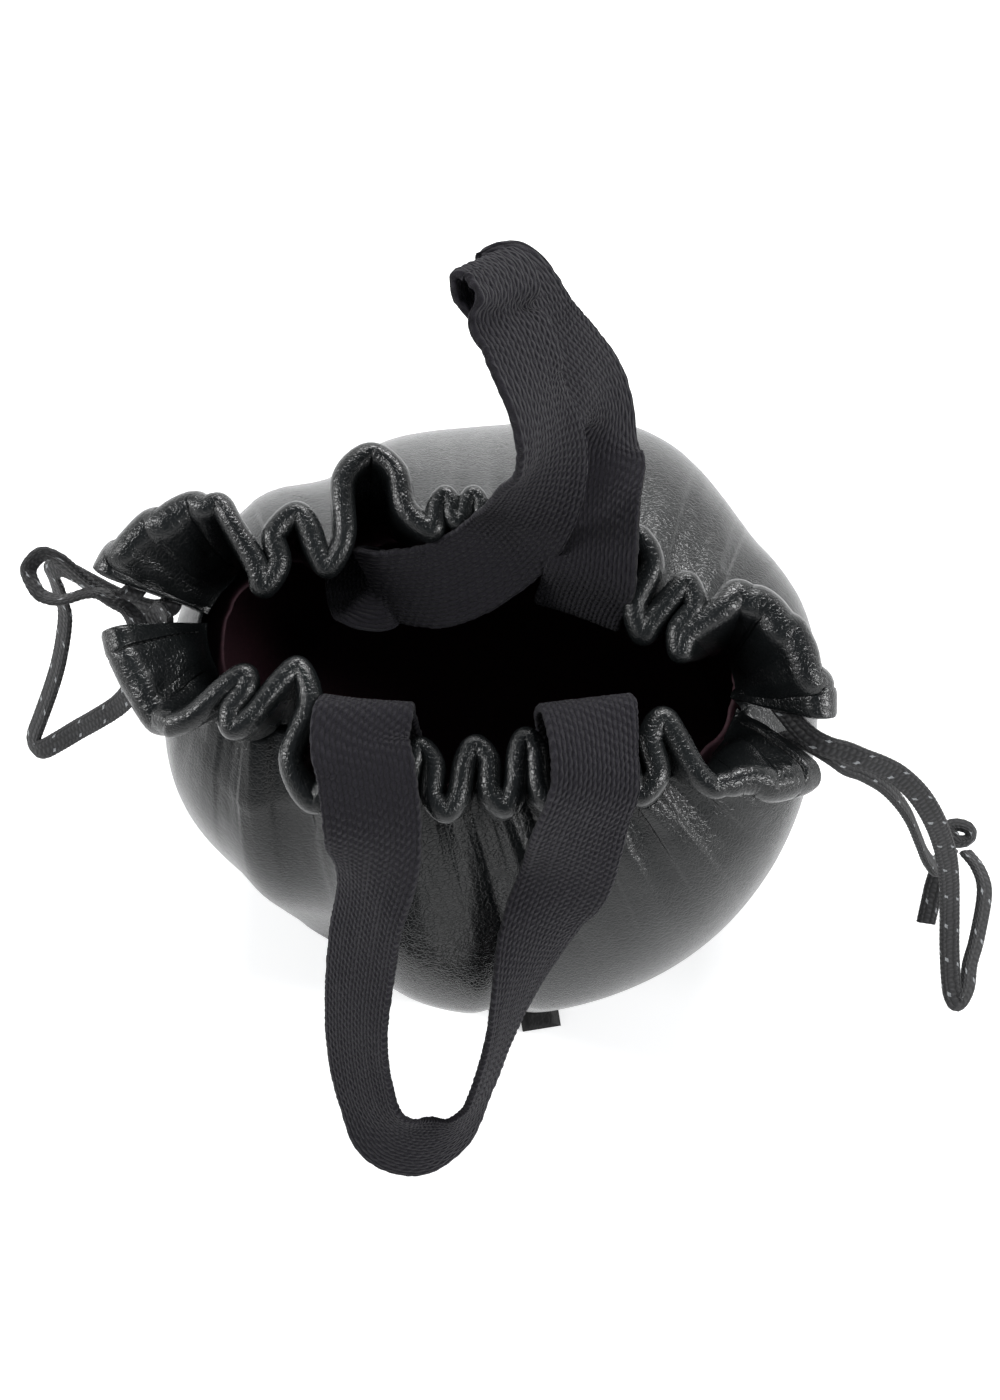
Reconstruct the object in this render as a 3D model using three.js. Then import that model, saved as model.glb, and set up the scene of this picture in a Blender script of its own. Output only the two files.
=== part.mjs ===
// Leather bucket bag with a gathered drawcord channel in two halves, two webbing handles and two drawcords.
// Millimetres, +Z up. The origin is on the floor at the middle of the base, and the front looks along -Y.
import * as THREE from 'three';

// Body
const bodyHeight = 184;
const bellyRadius = 119;
const bellyShift = new THREE.Vector2(-1, 6);
const bellyLevel = 0.5;
const baseRadius = 106;
const leatherThickness = 1.6;
const basePanelThickness = 3;
const liningThickness = 1;
const seamGap = 0.3;
const liningGap = 1.9;

// Mouth line: the ellipse along which the channel is stitched to the body
const mouthHalfLength = 92;
const mouthHalfWidth = 46;
const mouthTurn = -9.5;
const mouthCentre = new THREE.Vector2(-10, -2);

// Drawcord channel
const channelHeight = 42;
const channelWall = 1.2;
const stitchWidth = 3.4;

// Handles
const strapWidth = 30;
const strapThickness = 2.6;
const strapRootDepth = 10;
const strapClearance = 5.6;
const strapSag = 1.4;
const frontReach = 115;
const frontDrop = 124;
const handleSpan = 35;
const backRise = 100;
const backLean = 24;

// Drawcords
const cordWidth = 7.6;
const cordThickness = 2.6;
const knotRadius = 7.5;

// Base tab
const tabWidth = 17;
const tabLength = 9;
const tabThickness = 2;
const tabAngle = 279;

// Folds of the ruffle, one row for each turn of the gathered channel, from the left slit to the right.
// at: degrees round the mouth line. foot and rim: how far the stitch line and the rim stand outside the
// mouth line. slide: how far the rim is shifted along it. plump: thickness. Shares of channelHeight.
const frontFolds = [
  { at: 182, foot: 0, rim: 0.58, slide: 0.35, plump: 0.26 },
  { at: 190, foot: 0, rim: 0.52, slide: 0.5, plump: 0.3 },
  { at: 200, foot: 0, rim: 0.57, slide: 0.47, plump: 0.28 },
  { at: 209, foot: 0.05, rim: 0.54, slide: 0.28, plump: 0.2 },
  { at: 217, foot: -0.05, rim: -0.12, slide: 0.15, plump: 0.15 },
  { at: 224, foot: 0.07, rim: 0.27, slide: 0.14, plump: 0.15 },
  { at: 231, foot: -0.13, rim: -0.41, slide: 0.05, plump: 0.14 },
  { at: 243, foot: 0.12, rim: 0.49, slide: 0.22, plump: 0.16 },
  { at: 253, foot: -0.05, rim: -0.08, slide: 0, plump: 0.14 },
  { at: 260, foot: 0.12, rim: 0.42, slide: 0.12, plump: 0.14 },
  { at: 266, foot: -0.06, rim: -0.12, slide: -0.04, plump: 0.13 },
  { at: 271, foot: 0.12, rim: 0.33, slide: 0.04, plump: 0.13 },
  { at: 276, foot: -0.1, rim: -0.21, slide: -0.01, plump: 0.13 },
  { at: 281, foot: 0.1, rim: 0.24, slide: 0.06, plump: 0.13 },
  { at: 286, foot: -0.12, rim: -0.3, slide: 0, plump: 0.13 },
  { at: 291, foot: 0.09, rim: 0.2, slide: 0, plump: 0.13 },
  { at: 296, foot: -0.1, rim: -0.29, slide: 0, plump: 0.13 },
  { at: 301, foot: 0.09, rim: 0.21, slide: -0.06, plump: 0.13 },
  { at: 307, foot: -0.1, rim: -0.26, slide: -0.02, plump: 0.13 },
  { at: 313, foot: 0.09, rim: 0.22, slide: -0.15, plump: 0.14 },
  { at: 320, foot: -0.12, rim: -0.3, slide: 0, plump: 0.15 },
  { at: 330, foot: 0.1, rim: 0.33, slide: -0.19, plump: 0.18 },
  { at: 340, foot: 0.04, rim: 0.39, slide: -0.29, plump: 0.24 },
  { at: 350, foot: 0, rim: 0.6, slide: -0.42, plump: 0.28 },
  { at: 358, foot: 0, rim: 0.66, slide: -0.57, plump: 0.24 },
];
const backFolds = [
  { at: 178, foot: 0, rim: 0.82, slide: -0.01, plump: 0.26 },
  { at: 171, foot: 0, rim: 0.63, slide: 0, plump: 0.3 },
  { at: 162, foot: 0, rim: 0.43, slide: -0.06, plump: 0.3 },
  { at: 154, foot: 0.06, rim: 0.2, slide: -0.08, plump: 0.2 },
  { at: 147, foot: -0.13, rim: -0.58, slide: 0.13, plump: 0.15 },
  { at: 139, foot: 0.05, rim: -0.13, slide: -0.16, plump: 0.15 },
  { at: 131, foot: -0.13, rim: -0.61, slide: -0.08, plump: 0.15 },
  { at: 118, foot: 0.12, rim: 0.3, slide: -0.12, plump: 0.2 },
  { at: 106, foot: -0.12, rim: -0.36, slide: -0.14, plump: 0.14 },
  { at: 101, foot: 0.02, rim: -0.07, slide: -0.06, plump: 0.1 },
  { at: 97, foot: -0.1, rim: -0.28, slide: -0.03, plump: 0.1 },
  { at: 93, foot: 0.02, rim: -0.04, slide: 0.03, plump: 0.1 },
  { at: 89, foot: -0.09, rim: -0.23, slide: 0.04, plump: 0.1 },
  { at: 85, foot: 0.02, rim: -0.03, slide: 0.06, plump: 0.1 },
  { at: 81, foot: -0.1, rim: -0.22, slide: 0.08, plump: 0.1 },
  { at: 76, foot: 0.02, rim: 0.01, slide: 0.12, plump: 0.11 },
  { at: 71, foot: -0.1, rim: -0.22, slide: 0.14, plump: 0.11 },
  { at: 66, foot: 0.02, rim: 0, slide: 0.18, plump: 0.12 },
  { at: 60, foot: -0.12, rim: -0.28, slide: 0.14, plump: 0.12 },
  { at: 54, foot: 0.04, rim: -0.01, slide: 0.15, plump: 0.14 },
  { at: 45, foot: -0.13, rim: -0.66, slide: -0.03, plump: 0.16 },
  { at: 37, foot: 0.04, rim: -0.14, slide: 0.14, plump: 0.15 },
  { at: 29, foot: -0.13, rim: -0.57, slide: -0.06, plump: 0.16 },
  { at: 21, foot: 0.03, rim: 0.06, slide: 0.25, plump: 0.24 },
  { at: 13, foot: 0, rim: 0.23, slide: 0.24, plump: 0.3 },
  { at: 7, foot: 0, rim: 0.39, slide: 0.06, plump: 0.3 },
  { at: 2, foot: -0.06, rim: 0.6, slide: -0.27, plump: 0.26 },
];

// Folds of the body wall. top and bottom: degrees round the body at their two ends. high and low: the levels
// of those ends, as shares of bodyHeight. width: degrees. depth: a share of bellyRadius, outward.
const wallFolds = [
  { top: 221, bottom: 227, high: 1, low: 0.2, width: 6, depth: 0.035 },
  { top: 238, bottom: 236, high: 0.98, low: 0.3, width: 10, depth: -0.07 },
  { top: 227, bottom: 233, high: 0.92, low: 0.02, width: 16, depth: -0.065 },
  { top: 275, bottom: 269, high: 0.95, low: 0, width: 4, depth: -0.035 },
  { top: 318, bottom: 318, high: 0.95, low: 0.05, width: 24, depth: 0.035 },
  { top: 196, bottom: 200, high: 0.95, low: 0.05, width: 15, depth: 0.06 },
  { top: 128, bottom: 124, high: 1, low: 0.2, width: 10, depth: -0.08 },
  { top: 64, bottom: 66, high: 0.95, low: 0.05, width: 18, depth: 0.07 },
  { top: 32, bottom: 32, high: 0.95, low: 0.1, width: 14, depth: -0.055 },
];

// Levels at which the body wall is drawn, as shares of bodyHeight, and how much of the ruffle shows there
const wallLevels = [
  { level: 1, ripple: 1 },
  { level: 0.94, ripple: 0.75 },
  { level: 0.86, ripple: 0.4 },
  { level: 0.74, ripple: 0.12 },
  { level: 0.5, ripple: 0 },
  { level: 0.26, ripple: 0 },
  { level: 0.08, ripple: 0 },
  { level: 0, ripple: 0 },
];

// Stations of the handles from their left root to their right root, in shares of the handle's own sizes.
// along: of handleSpan. out: of frontReach or backLean. rise: of frontDrop or backRise, from the crest or rim.
// heading and tilt: direction of the strap's width in degrees, in plan and above the level.
const frontHandle = [
  { along: -0.89, out: -0.19, rise: -0.16, heading: -12, tilt: 0 },
  { along: -0.89, out: -0.15, rise: -0.02, heading: 4, tilt: -12 },
  { along: -0.92, out: -0.06, rise: 0, heading: 2, tilt: -8 },
  { along: -0.86, out: 0.03, rise: -0.01, heading: 2, tilt: 0 },
  { along: -0.82, out: 0.17, rise: -0.09, heading: 6, tilt: 4 },
  { along: -0.91, out: 0.31, rise: -0.34, heading: 321, tilt: 17 },
  { along: -1.04, out: 0.45, rise: -0.53, heading: 322, tilt: 18 },
  { along: -1.13, out: 0.61, rise: -0.7, heading: 325, tilt: 24 },
  { along: -1.13, out: 0.75, rise: -0.84, heading: 335, tilt: 29 },
  { along: -1.03, out: 0.88, rise: -0.94, heading: 350, tilt: 35 },
  { along: -0.8, out: 0.97, rise: -1.02, heading: 33, tilt: 30 },
  { along: -0.48, out: 0.99, rise: -1.07, heading: 73, tilt: 44 },
  { along: -0.18, out: 0.95, rise: -1.09, heading: 131, tilt: 68 },
  { along: 0.05, out: 0.85, rise: -1.07, heading: 222, tilt: 62 },
  { along: 0.24, out: 0.72, rise: -0.97, heading: 231, tilt: 48 },
  { along: 0.39, out: 0.6, rise: -0.85, heading: 226, tilt: 37 },
  { along: 0.52, out: 0.49, rise: -0.7, heading: 211, tilt: 30 },
  { along: 0.69, out: 0.36, rise: -0.53, heading: 185, tilt: 20 },
  { along: 0.88, out: 0.26, rise: -0.37, heading: 164, tilt: 4 },
  { along: 0.99, out: 0.16, rise: -0.13, heading: 180, tilt: 18 },
  { along: 1.1, out: 0.07, rise: 0, heading: 182, tilt: 26 },
  { along: 1.09, out: -0.04, rise: 0.035, heading: 188, tilt: 24 },
  { along: 1.05, out: -0.15, rise: 0, heading: 190, tilt: 12 },
  { along: 1.02, out: -0.18, rise: -0.16, heading: 186, tilt: 0 },
];
const backHandle = [
  { along: -1, out: -0.95, rise: -0.34, heading: 10, tilt: 40 },
  { along: -0.86, out: -1.02, rise: -0.26, heading: 50, tilt: 66 },
  { along: -0.62, out: -1.1, rise: -0.22, heading: 84, tilt: 56 },
  { along: -0.3, out: -1.13, rise: -0.18, heading: 94, tilt: 44 },
  { along: 0.03, out: -1, rise: -0.12, heading: 108, tilt: 40 },
  { along: 0.32, out: -0.8, rise: -0.04, heading: 134, tilt: 38 },
  { along: 0.52, out: -0.7, rise: 0.14, heading: 168, tilt: 34 },
  { along: 0.64, out: -0.55, rise: 0.41, heading: 205, tilt: 24 },
  { along: 0.64, out: -0.42, rise: 0.63, heading: 240, tilt: 15 },
  { along: 0.56, out: -0.13, rise: 0.75, heading: 246, tilt: 20 },
  { along: 0.43, out: 0.37, rise: 0.8, heading: 238, tilt: 27 },
  { along: 0.32, out: 0.68, rise: 0.82, heading: 235, tilt: 31 },
  { along: 0.34, out: 0.88, rise: 0.85, heading: 226, tilt: 37 },
  { along: 0.27, out: 1.12, rise: 0.86, heading: 229, tilt: 37 },
  { along: 0.15, out: 1.23, rise: 0.85, heading: 230, tilt: 35.7 },
  { along: 0.15, out: 1.09, rise: 0.81, heading: 233, tilt: 34 },
  { along: 0.27, out: 0.94, rise: 0.78, heading: 239, tilt: 30 },
  { along: 0.48, out: 1.15, rise: 0.71, heading: 245, tilt: 20 },
  { along: 0.73, out: 0.87, rise: 0.57, heading: 251, tilt: 2 },
  { along: 1.02, out: 0.76, rise: 0.41, heading: 258, tilt: -6 },
  { along: 1.15, out: 0.68, rise: 0.31, heading: 250, tilt: -2 },
  { along: 1.19, out: 0.5, rise: 0.25, heading: 234, tilt: 6 },
  { along: 1.14, out: 0.18, rise: 0.2, heading: 205, tilt: 0 },
  { along: 1.15, out: -0.2, rise: 0.13, heading: 180, tilt: -26 },
  { along: 1.13, out: -1.16, rise: 0.04, heading: 170, tilt: -34 },
  { along: 1.05, out: -1.34, rise: -0.13, heading: 160, tilt: -28 },
  { along: 1.02, out: -1.37, rise: -0.28, heading: 155, tilt: -14 },
];

// Routes of the drawcords, chosen by hand in millimetres. Each starts inside the open end of a channel.
const leftPullRoute = [
  [-109.2, 21.9, 191.8], [-110.8, 19, 191], [-112.2, 15.8, 190.1], [-116.5, 15.3, 188.8],
  [-121.5, 16.6, 188], [-131, 21, 186], [-140, 26, 185], [-147, 30, 184], [-153, 33, 182], [-157, 33, 177],
  [-157, 31, 171], [-157, 28, 165], [-156.7, 23.4, 159], [-158.6, 15.8, 153], [-161.8, 8.1, 146],
  [-166.4, 0.4, 138], [-171.5, -8.5, 131], [-174.5, -14.1, 127], [-174.4, -17.4, 125],
  [-170.7, -19.1, 127], [-163.5, -17.2, 132], [-155.3, -14.5, 138], [-146.1, -12.3, 146],
  [-137, -9.6, 154], [-131, -7, 162], [-126, -3, 171], [-122, 4, 180], [-117, 13.4, 188.2],
  [-112.4, 12.2, 193.5], [-110.1, 8.4, 195.3],
];
const leftTurnRoute = [
  [-116.4, -3.9, 202.2], [-117.8, 0.4, 202.2], [-119.6, 5.9, 201.6], [-123, 11, 200], [-128, 14, 200],
  [-133, 17, 200], [-138, 17, 200], [-143, 15.4, 200], [-147.2, 14.7, 200], [-151.3, 15.8, 200],
  [-153.8, 17.5, 201], [-156.9, 23.9, 202], [-154.9, 27.9, 203], [-151.9, 29.9, 203], [-147.9, 28.9, 202],
  [-145, 27, 199], [-140, 23, 196], [-134, 19, 194], [-128, 17.5, 194], [-123.2, 18.8, 196.2],
  [-120.5, 22.1, 198.5], [-118.6, 25.2, 199.8],
];
const rightLongRoute = [
  [90.3, -15.5, 198.6], [91.3, -19.8, 197.9], [94.2, -24.4, 198.7], [97, -28.6, 199.6], [101, -33, 201],
  [106, -35.7, 201], [111.9, -37.1, 200], [117.8, -39, 198], [123.6, -40.3, 195], [129.7, -42.1, 191],
  [135.7, -45.1, 186], [141.1, -48.6, 180], [146.6, -53.2, 172], [151.8, -58, 162], [156.9, -64.1, 150],
  [160.6, -71, 138], [163.5, -80, 126], [165.5, -91, 116], [167.5, -101, 108], [169, -107.5, 104],
  [171.6, -110.4, 102], [174.7, -105.2, 103], [175.9, -96.5, 105], [178.7, -87.1, 107],
  [181.8, -70.7, 110.5], [180.9, -61.3, 108.6], [177.4, -54.3, 105.8],
];
const rightShortRoute = [
  [87.9, -35.4, 196], [89.8, -33.4, 194.7], [93, -32, 194.5], [97, -31.5, 195], [102, -33.5, 195.3],
  [108, -37, 194.5], [113, -39.7, 192], [119, -40.7, 188], [127.3, -43.6, 182], [134.3, -47.4, 174],
  [140.4, -51.9, 165], [146.1, -57.6, 154], [151.9, -62.4, 142], [158.7, -63.5, 130],
  [168.7, -54.6, 112.6], [171.5, -51.1, 108.3],
];
const tailRoute = [
  [172.9, -52, 100.3], [170.3, -59.2, 95], [168.6, -65.7, 91], [167.4, -72.3, 88], [166.2, -78.9, 85],
];
const knotCentre = new THREE.Vector3(176, -47, 104);

const strapStations = 44;
const cordSteps = 36;
const baseSides = 48;

const leather = new THREE.MeshStandardMaterial({ color: 0x0c0d0e, roughness: 0.38, metalness: 0 });
const baseLeather = new THREE.MeshStandardMaterial({ color: 0x0a0b0b, roughness: 0.5, metalness: 0 });
const plumCloth = new THREE.MeshStandardMaterial({ color: 0x35161f, roughness: 0.8, metalness: 0 });
const webbing = new THREE.MeshStandardMaterial({ color: 0x141217, roughness: 0.95, metalness: 0 });
const cordBraid = new THREE.MeshStandardMaterial({ color: 0x121314, roughness: 0.7, metalness: 0 });

const radians = THREE.MathUtils.degToRad;
const lerp = THREE.MathUtils.lerp;

const bag = new THREE.Group();

function addPiece(name, geometry, material) {
  const piece = new THREE.Mesh(geometry, material);
  piece.name = name;
  bag.add(piece);
  return piece;
}

// A closed body through rings of points. A loop joins the last ring to the first, and an open run gets flat
// ends. A column named in pinned is one point shared by all the rings. Each quad is cut along its shorter
// diagonal, so that neighbouring skins bend alike.
function closedSkin(rings, loop, pinned = []) {
  const columns = rings[0].length;
  const positions = [];
  const shared = new Map();
  const index = rings.map((ring) => ring.map((point, column) => {
    if (pinned.includes(column) && shared.has(column)) return shared.get(column);
    positions.push(point.x, point.y, point.z);
    const place = positions.length / 3 - 1;
    if (pinned.includes(column)) shared.set(column, place);
    return place;
  }));
  const faces = [];
  const addFace = (a, b, c) => {
    if (a !== b && b !== c && c !== a) faces.push(a, b, c);
  };
  const corner = (k) => new THREE.Vector3().fromArray(positions, 3 * k);
  const distance = (a, b) => corner(a).distanceTo(corner(b));
  const spans = loop ? rings.length : rings.length - 1;
  for (let i = 0; i < spans; i += 1) {
    const here = index[i];
    const next = index[(i + 1) % rings.length];
    for (let j = 0; j < columns; j += 1) {
      const k = (j + 1) % columns;
      if (distance(here[j], next[k]) <= distance(next[j], here[k])) {
        addFace(here[j], next[j], next[k]);
        addFace(here[j], next[k], here[k]);
      } else {
        addFace(here[j], next[j], here[k]);
        addFace(next[j], next[k], here[k]);
      }
    }
  }
  if (!loop) {
    const last = index[rings.length - 1];
    for (let j = 1; j < columns - 1; j += 1) {
      addFace(index[0][0], index[0][j], index[0][j + 1]);
      addFace(last[0], last[j + 1], last[j]);
    }
  }
  if (enclosedVolume(positions, faces) < 0) faces.reverse();
  const geometry = new THREE.BufferGeometry();
  geometry.setAttribute('position', new THREE.Float32BufferAttribute(positions, 3));
  geometry.setIndex(faces);
  geometry.computeVertexNormals();
  return geometry;
}

function enclosedVolume(positions, faces) {
  const corner = (k) => new THREE.Vector3().fromArray(positions, 3 * k);
  let volume = 0;
  for (let f = 0; f < faces.length; f += 3) {
    volume += corner(faces[f]).dot(corner(faces[f + 1]).cross(corner(faces[f + 2]))) / 6;
  }
  return volume;
}

// Mouth line, its outward direction and its direction of travel
function mouthPoint(angle) {
  const point = new THREE.Vector2(mouthHalfLength * Math.cos(radians(angle)), mouthHalfWidth * Math.sin(radians(angle)));
  return point.rotateAround(new THREE.Vector2(), radians(mouthTurn)).add(mouthCentre);
}

function mouthOutward(angle) {
  const slope = new THREE.Vector2(Math.cos(radians(angle)) / mouthHalfLength, Math.sin(radians(angle)) / mouthHalfWidth);
  return slope.rotateAround(new THREE.Vector2(), radians(mouthTurn)).normalize();
}

// Plan place of a fold's foot or rim
function foldPlace(fold, out, slide) {
  const outward = mouthOutward(fold.at);
  const travel = new THREE.Vector2(-outward.y, outward.x);
  return mouthPoint(fold.at)
    .addScaledVector(outward, out * channelHeight)
    .addScaledVector(travel, slide * channelHeight);
}

// Between two turns the channel runs as a straight limb. The longer the limb is across the mouth line than
// along it, the more squarely it stands to the line.
function limbShares(from, to) {
  const across = Math.abs(to.rim - from.rim) * channelHeight;
  const along = mouthPoint(from.at).distanceTo(mouthPoint(to.at));
  const squareness = Math.min(1, across / (along + across));
  return [
    { along: lerp(0.34, 0.48, squareness), across: lerp(0.34, 0.2, squareness) },
    { along: lerp(0.66, 0.52, squareness), across: lerp(0.66, 0.8, squareness) },
  ];
}

function foldsWithLimbs(folds) {
  const stations = [];
  folds.forEach((fold, i) => {
    stations.push(fold);
    const next = folds[i + 1];
    if (!next) return;
    for (const share of limbShares(fold, next)) {
      stations.push({
        at: lerp(fold.at, next.at, share.along),
        slide: lerp(fold.slide, next.slide, share.along),
        foot: lerp(fold.foot, next.foot, share.across),
        rim: lerp(fold.rim, next.rim, share.across),
        plump: lerp(fold.plump, next.plump, share.across),
      });
    }
  });
  return stations;
}

// Section of the channel. height: share of the way from the stitches to the rim. spread: share of the
// half thickness on the two sides, outside first. The stitched foot is flat.
const channelSection = [
  { height: 0, spread: 0 },
  { height: 0.3, spread: 0.86 },
  { height: 0.68, spread: 1 },
  { height: 1, spread: 0 },
  { height: 0.68, spread: -1 },
  { height: 0.3, spread: -0.86 },
  { height: 0, spread: -0 },
];

function drawcordChannel(folds) {
  const stations = foldsWithLimbs(folds);
  const feet = stations.map((station) => {
    const plan = foldPlace(station, station.foot, 0);
    return new THREE.Vector3(plan.x, plan.y, bodyHeight + seamGap);
  });
  const rims = stations.map((station, i) => {
    const plan = foldPlace(station, station.rim, station.slide);
    const shift = new THREE.Vector2(plan.x - feet[i].x, plan.y - feet[i].y);
    const reach = Math.min(shift.length(), 0.97 * channelHeight);
    shift.setLength(reach);
    const rise = Math.sqrt(channelHeight ** 2 - reach ** 2);
    return new THREE.Vector3(feet[i].x + shift.x, feet[i].y + shift.y, feet[i].z + rise);
  });
  const rings = channelSection.map(() => []);
  const hollow = channelSection.map(() => []);
  stations.forEach((station, i) => {
    const before = Math.max(i - 1, 0);
    const after = Math.min(i + 1, stations.length - 1);
    const travel = rims[after].clone().sub(rims[before]).add(feet[after]).sub(feet[before]);
    const up = rims[i].clone().sub(feet[i]).normalize();
    const across = travel.clone().cross(up).normalize();
    const level = travel.setZ(0).cross(new THREE.Vector3(0, 0, 1)).normalize();
    const halfThickness = station.plump * channelHeight / 2;
    channelSection.forEach((corner, column) => {
      const side = column < channelSection.length / 2 ? 1 : -1;
      const atFoot = corner.height === 0;
      const offset = atFoot ? side * stitchWidth / 2 : corner.spread * halfThickness;
      const height = corner.height * channelHeight;
      const sideways = atFoot ? level : across;
      rings[column].push(feet[i].clone().addScaledVector(up, height).addScaledVector(sideways, offset));
      const innerOffset = atFoot ? side * stitchWidth / 12 : corner.spread * (halfThickness - channelWall);
      const innerHeight = THREE.MathUtils.clamp(height, 3 * channelWall, channelHeight - 1.5 * channelWall);
      hollow[column].push(feet[i].clone().addScaledVector(up, innerHeight).addScaledVector(across, innerOffset));
    });
  });
  return closedSkin(rings.map((ring, column) => ring.concat(hollow[column].reverse())), true);
}

// Body wall: a round belly on a round base, drawn in to the mouth line. The sides stay full up to the mouth,
// and the front and back slope in to it.
function smoothWall(angle, level) {
  const round = new THREE.Vector2(Math.cos(radians(angle)), Math.sin(radians(angle)));
  if (level <= bellyLevel) {
    const swell = Math.sin(Math.PI / 2 * level / bellyLevel);
    const low = round.multiplyScalar(lerp(baseRadius, bellyRadius, swell)).addScaledVector(bellyShift, swell);
    return new THREE.Vector3(low.x, low.y, level * bodyHeight);
  }
  const climb = (level - bellyLevel) / (1 - bellyLevel);
  const fullness = lerp(1.6, 5, round.x ** 2);
  const mouth = mouthPoint(angle);
  const inward = Math.min(climb, 1) ** fullness;
  const plan = round.clone().multiplyScalar(bellyRadius).add(bellyShift).lerp(mouth, inward);
  return new THREE.Vector3(plan.x, plan.y, level * bodyHeight);
}

function wallOutward(angle, level) {
  const step = 0.02;
  const low = Math.min(level, 0.96);
  const around = smoothWall(angle + 1, low).sub(smoothWall(angle - 1, low));
  const upward = smoothWall(angle, low + step).sub(smoothWall(angle, Math.max(low - step, 0)));
  const outward = around.cross(upward).normalize();
  if (level === 0) outward.setZ(0).normalize();
  return outward;
}

function foldDepth(angle, level) {
  let depth = 0;
  for (const fold of wallFolds) {
    const share = (level - fold.low) / (fold.high - fold.low);
    if (share <= 0 || share >= 1) continue;
    const off = (angle - lerp(fold.bottom, fold.top, share)) / fold.width;
    depth += fold.depth * bellyRadius * Math.exp(-off * off) * Math.sin(Math.PI * share) ** 0.7;
  }
  return depth;
}

// The level move that shifts a sloping wall by a distance square to itself
function sideways(outward, distance) {
  const flat = new THREE.Vector3(outward.x, outward.y, 0);
  return flat.multiplyScalar(distance / flat.lengthSq());
}

function wallPoint(fold, row, inset) {
  const outward = wallOutward(fold.at, row.level);
  const swing = mouthOutward(fold.at).multiplyScalar(fold.foot * channelHeight * row.ripple);
  return smoothWall(fold.at, row.level)
    .add(sideways(outward, foldDepth(fold.at, row.level) - inset))
    .add(new THREE.Vector3(swing.x, swing.y, 0));
}

const aroundMouth = [...frontFolds, ...backFolds.map((fold) => ({ ...fold, at: fold.at + 360 }))]
  .sort((a, b) => a.at - b.at);
const floorTop = basePanelThickness + seamGap;

function noLower(point, lowest) {
  point.z = Math.max(point.z, lowest);
  return point;
}

function bodyShell() {
  const rings = aroundMouth.map((fold) => {
    const outside = wallLevels.map((row) => noLower(wallPoint(fold, row, -leatherThickness / 2), floorTop));
    const inside = wallLevels.map((row) => noLower(wallPoint(fold, row, leatherThickness / 2), floorTop));
    return outside.concat(inside.reverse());
  });
  return closedSkin(rings, true);
}

// Lining: a cloth bag inside the leather that stays clear of the gathers at the mouth
const deepestFoot = Math.max(...aroundMouth.map((fold) => -fold.foot)) * channelHeight;
const liningTop = bodyHeight - 8;

function liningPoint(angle, level, depth) {
  const outward = wallOutward(angle, level);
  const gathered = Math.sqrt(THREE.MathUtils.smoothstep(level, 0.7, 0.96));
  const drawnIn = mouthOutward(angle).multiplyScalar(-(deepestFoot + stitchWidth / 2) * gathered);
  return smoothWall(angle, level)
    .add(sideways(outward, foldDepth(angle, level) - leatherThickness / 2 - liningGap - depth))
    .add(new THREE.Vector3(drawnIn.x, drawnIn.y, 0));
}

function liningBag() {
  const bottom = floorTop + seamGap;
  const levels = wallLevels.map((row) => Math.min(row.level, liningTop / bodyHeight));
  const rings = aroundMouth.map((fold) => {
    const outside = levels.map((level) => noLower(liningPoint(fold.at, level, 0), bottom));
    const inside = levels.map((level) => (
      noLower(liningPoint(fold.at, level, liningThickness), bottom + liningThickness)
    ));
    const centreLow = new THREE.Vector3(0, 0, bottom);
    const centreHigh = new THREE.Vector3(0, 0, bottom + liningThickness);
    return [...outside, centreLow, centreHigh, ...inside.reverse()];
  });
  return closedSkin(rings, true, [wallLevels.length, wallLevels.length + 1]);
}

function basePanel() {
  const panel = new THREE.CylinderGeometry(baseRadius + leatherThickness, baseRadius + leatherThickness,
    basePanelThickness, baseSides);
  panel.rotateX(Math.PI / 2);
  panel.translate(0, 0, basePanelThickness / 2);
  return panel;
}

// The tab is the end of the base binding, which stands out under the front of the wall
function baseTab() {
  const tab = new THREE.BoxGeometry(tabLength, tabWidth, tabThickness);
  tab.translate(baseRadius + leatherThickness + seamGap + tabLength / 2, 0, tabThickness / 2 + seamGap);
  tab.rotateZ(radians(tabAngle));
  return tab;
}

// Handles: flat straps whose roots hang upright against the top of the lining
function strapPath(rows, place, rootAngles) {
  const seat = seamGap + strapSag + strapThickness / 2;
  const rootStations = (angle, side) => {
    const outward = mouthOutward(angle);
    const width = new THREE.Vector3(-outward.y, outward.x, 0).multiplyScalar(side);
    const top = liningPoint(angle, liningTop / bodyHeight, liningThickness);
    top.x -= seat * outward.x;
    top.y -= seat * outward.y;
    return [-strapRootDepth, 0].map((height) => ({ centre: top.clone().setZ(liningTop + height), width }));
  };
  const [left, right] = rootAngles;
  return [
    ...rootStations(left.angle, left.side),
    ...rows.map((row) => ({ centre: place(row), width: widthDirection(row) })),
    ...rootStations(right.angle, right.side).reverse(),
  ];
}

function widthDirection(row) {
  const flat = Math.cos(radians(row.tilt));
  return new THREE.Vector3(
    flat * Math.cos(radians(row.heading)),
    flat * Math.sin(radians(row.heading)),
    Math.sin(radians(row.tilt)),
  );
}

function strap(path) {
  const centreLine = new THREE.CatmullRomCurve3(path.map((station) => station.centre), false, 'centripetal');
  const widthLine = new THREE.CatmullRomCurve3(path.map((station) => station.width), false, 'catmullrom', 0.5);
  const rings = [];
  for (let i = 0; i <= strapStations; i += 1) {
    const t = i / strapStations;
    const centre = centreLine.getPoint(t);
    const travel = centreLine.getTangent(t);
    const width = widthLine.getPoint(t);
    width.addScaledVector(travel, -width.dot(travel)).normalize();
    const face = travel.clone().cross(width);
    const corner = (a, b) => centre.clone()
      .addScaledVector(width, a * strapWidth / 2)
      .addScaledVector(face, b * strapThickness / 2);
    rings.push([corner(1, 1), corner(-1, 1), corner(-1, -1), corner(1, -1)]);
  }
  return closedSkin(rings, false);
}

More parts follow.
